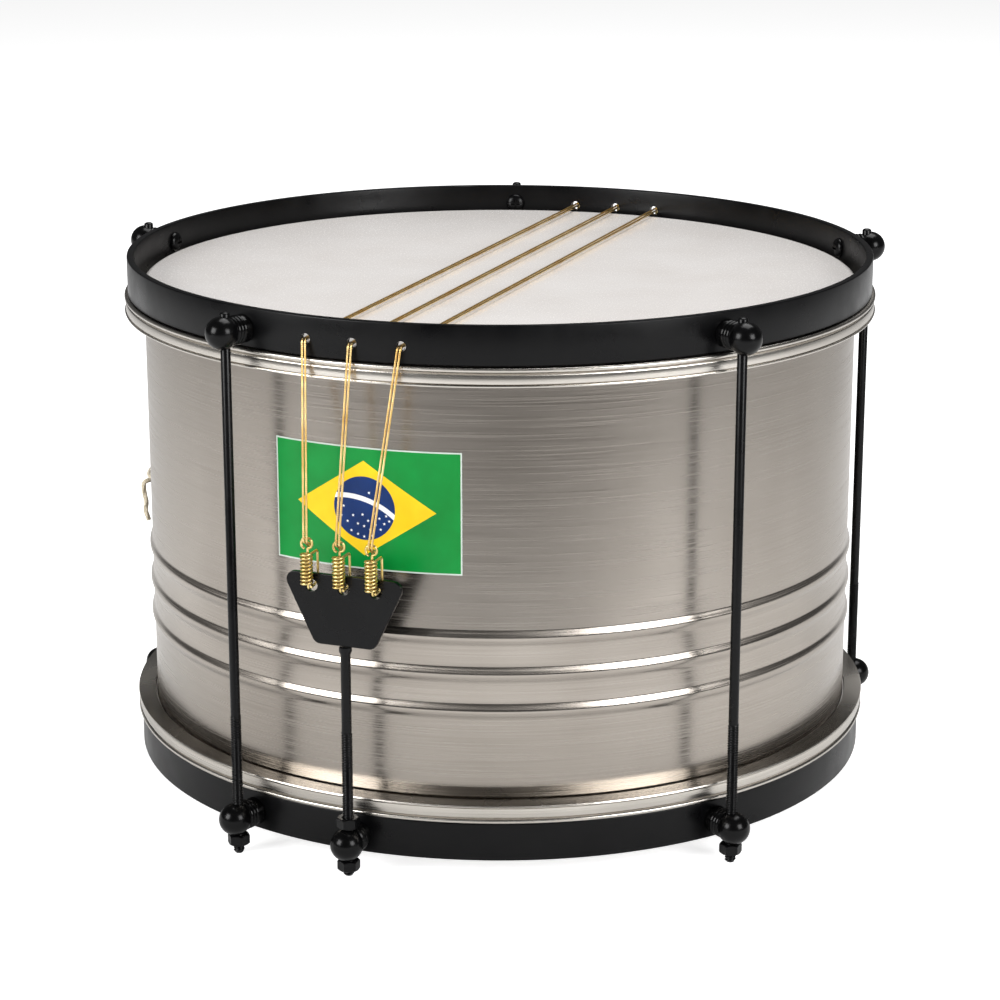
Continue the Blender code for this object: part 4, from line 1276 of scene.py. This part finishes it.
# %% Floor
FLOOR_Z = ROD_TIP
FLOOR_SIZE = 14.0
FLOOR_GLOW = 0.75
REFLECTED_SHARE = 0.2

floor_mesh = bpy.data.meshes.new("studio_floor")
half = FLOOR_SIZE / 2
corners = [(x, y, FLOOR_Z) for x, y in ((-half, -half), (half, -half), (half, half), (-half, half))]
floor_mesh.from_pydata(corners, [], [(0, 1, 2, 3)])
floor = linked("studio_floor", floor_mesh)
floor_paper, floor_tree, floor_shader = new_finish("white_paper_floor", {
    "Base Color": linear("#f2f2f2"), "Roughness": 0.9, "Specular IOR Level": 0.1,
    "Emission Color": (1, 1, 1, 1)})
rays = add_node(floor_tree, "ShaderNodeLightPath")
reflected = add_node(floor_tree, "ShaderNodeMath", {"operation": 'MULTIPLY', 1: REFLECTED_SHARE},
                     {0: rays.outputs["Is Glossy Ray"]})
seen = add_node(floor_tree, "ShaderNodeMath", {"operation": 'MAXIMUM'},
                {0: rays.outputs["Is Camera Ray"], 1: reflected.outputs["Value"]})
glow = add_node(floor_tree, "ShaderNodeMath", {"operation": 'MULTIPLY', 1: FLOOR_GLOW},
                {0: seen.outputs["Value"]})
drive(floor_tree, floor_shader, {"Emission Strength": glow.outputs["Value"]})
floor_mesh.materials.append(floor_paper)
print("floor at height, mm:", round(FLOOR_Z / MM, 1))

# %% [markdown]
# ## Lamps and world
# Softboxes to the left and right draw the shell's upright stripes, and one above
# lights the head. The room adds a little light from all round, and the camera sees
# it as plain white.

# %% Lamps and world
LAMP_AIM = (0.0, 0.0, 0.1)
ROOM_STRENGTH = 0.09
LAMPS = (
    ("left_softbox", (-1.00, -1.45, 0.85), 0.9, 30.0),
    ("right_softbox", (1.60, -0.75, 0.80), 0.8, 24.0),
    ("top_softbox", (0.1, 0.6, 2.10), 1.4, 36.0),
)
for name, place, size, power in LAMPS:
    lamp_data = bpy.data.lights.new(name, 'AREA')
    lamp_data.size = size
    lamp_data.energy = power
    aimed(linked(name, lamp_data), place, LAMP_AIM)

world = bpy.data.worlds.new("studio")
bpy.context.scene.world = world
world.use_nodes = True
world_tree = world.node_tree
world_tree.nodes.clear()
world_rays = add_node(world_tree, "ShaderNodeLightPath")
WHITE = linear("#ffffff")
room_light = add_node(world_tree, "ShaderNodeBackground", {"Color": WHITE, "Strength": ROOM_STRENGTH})
seen_white = add_node(world_tree, "ShaderNodeBackground", {"Color": WHITE, "Strength": 1.0})
world_mix = add_node(world_tree, "ShaderNodeMixShader", {}, {
    0: world_rays.outputs["Is Camera Ray"], 1: room_light.outputs[0], 2: seen_white.outputs[0]})
add_node(world_tree, "ShaderNodeOutputWorld", {}, {"Surface": world_mix.outputs[0]})
bpy.context.scene.view_settings.view_transform = 'Standard'
print("lamps:", len(LAMPS))
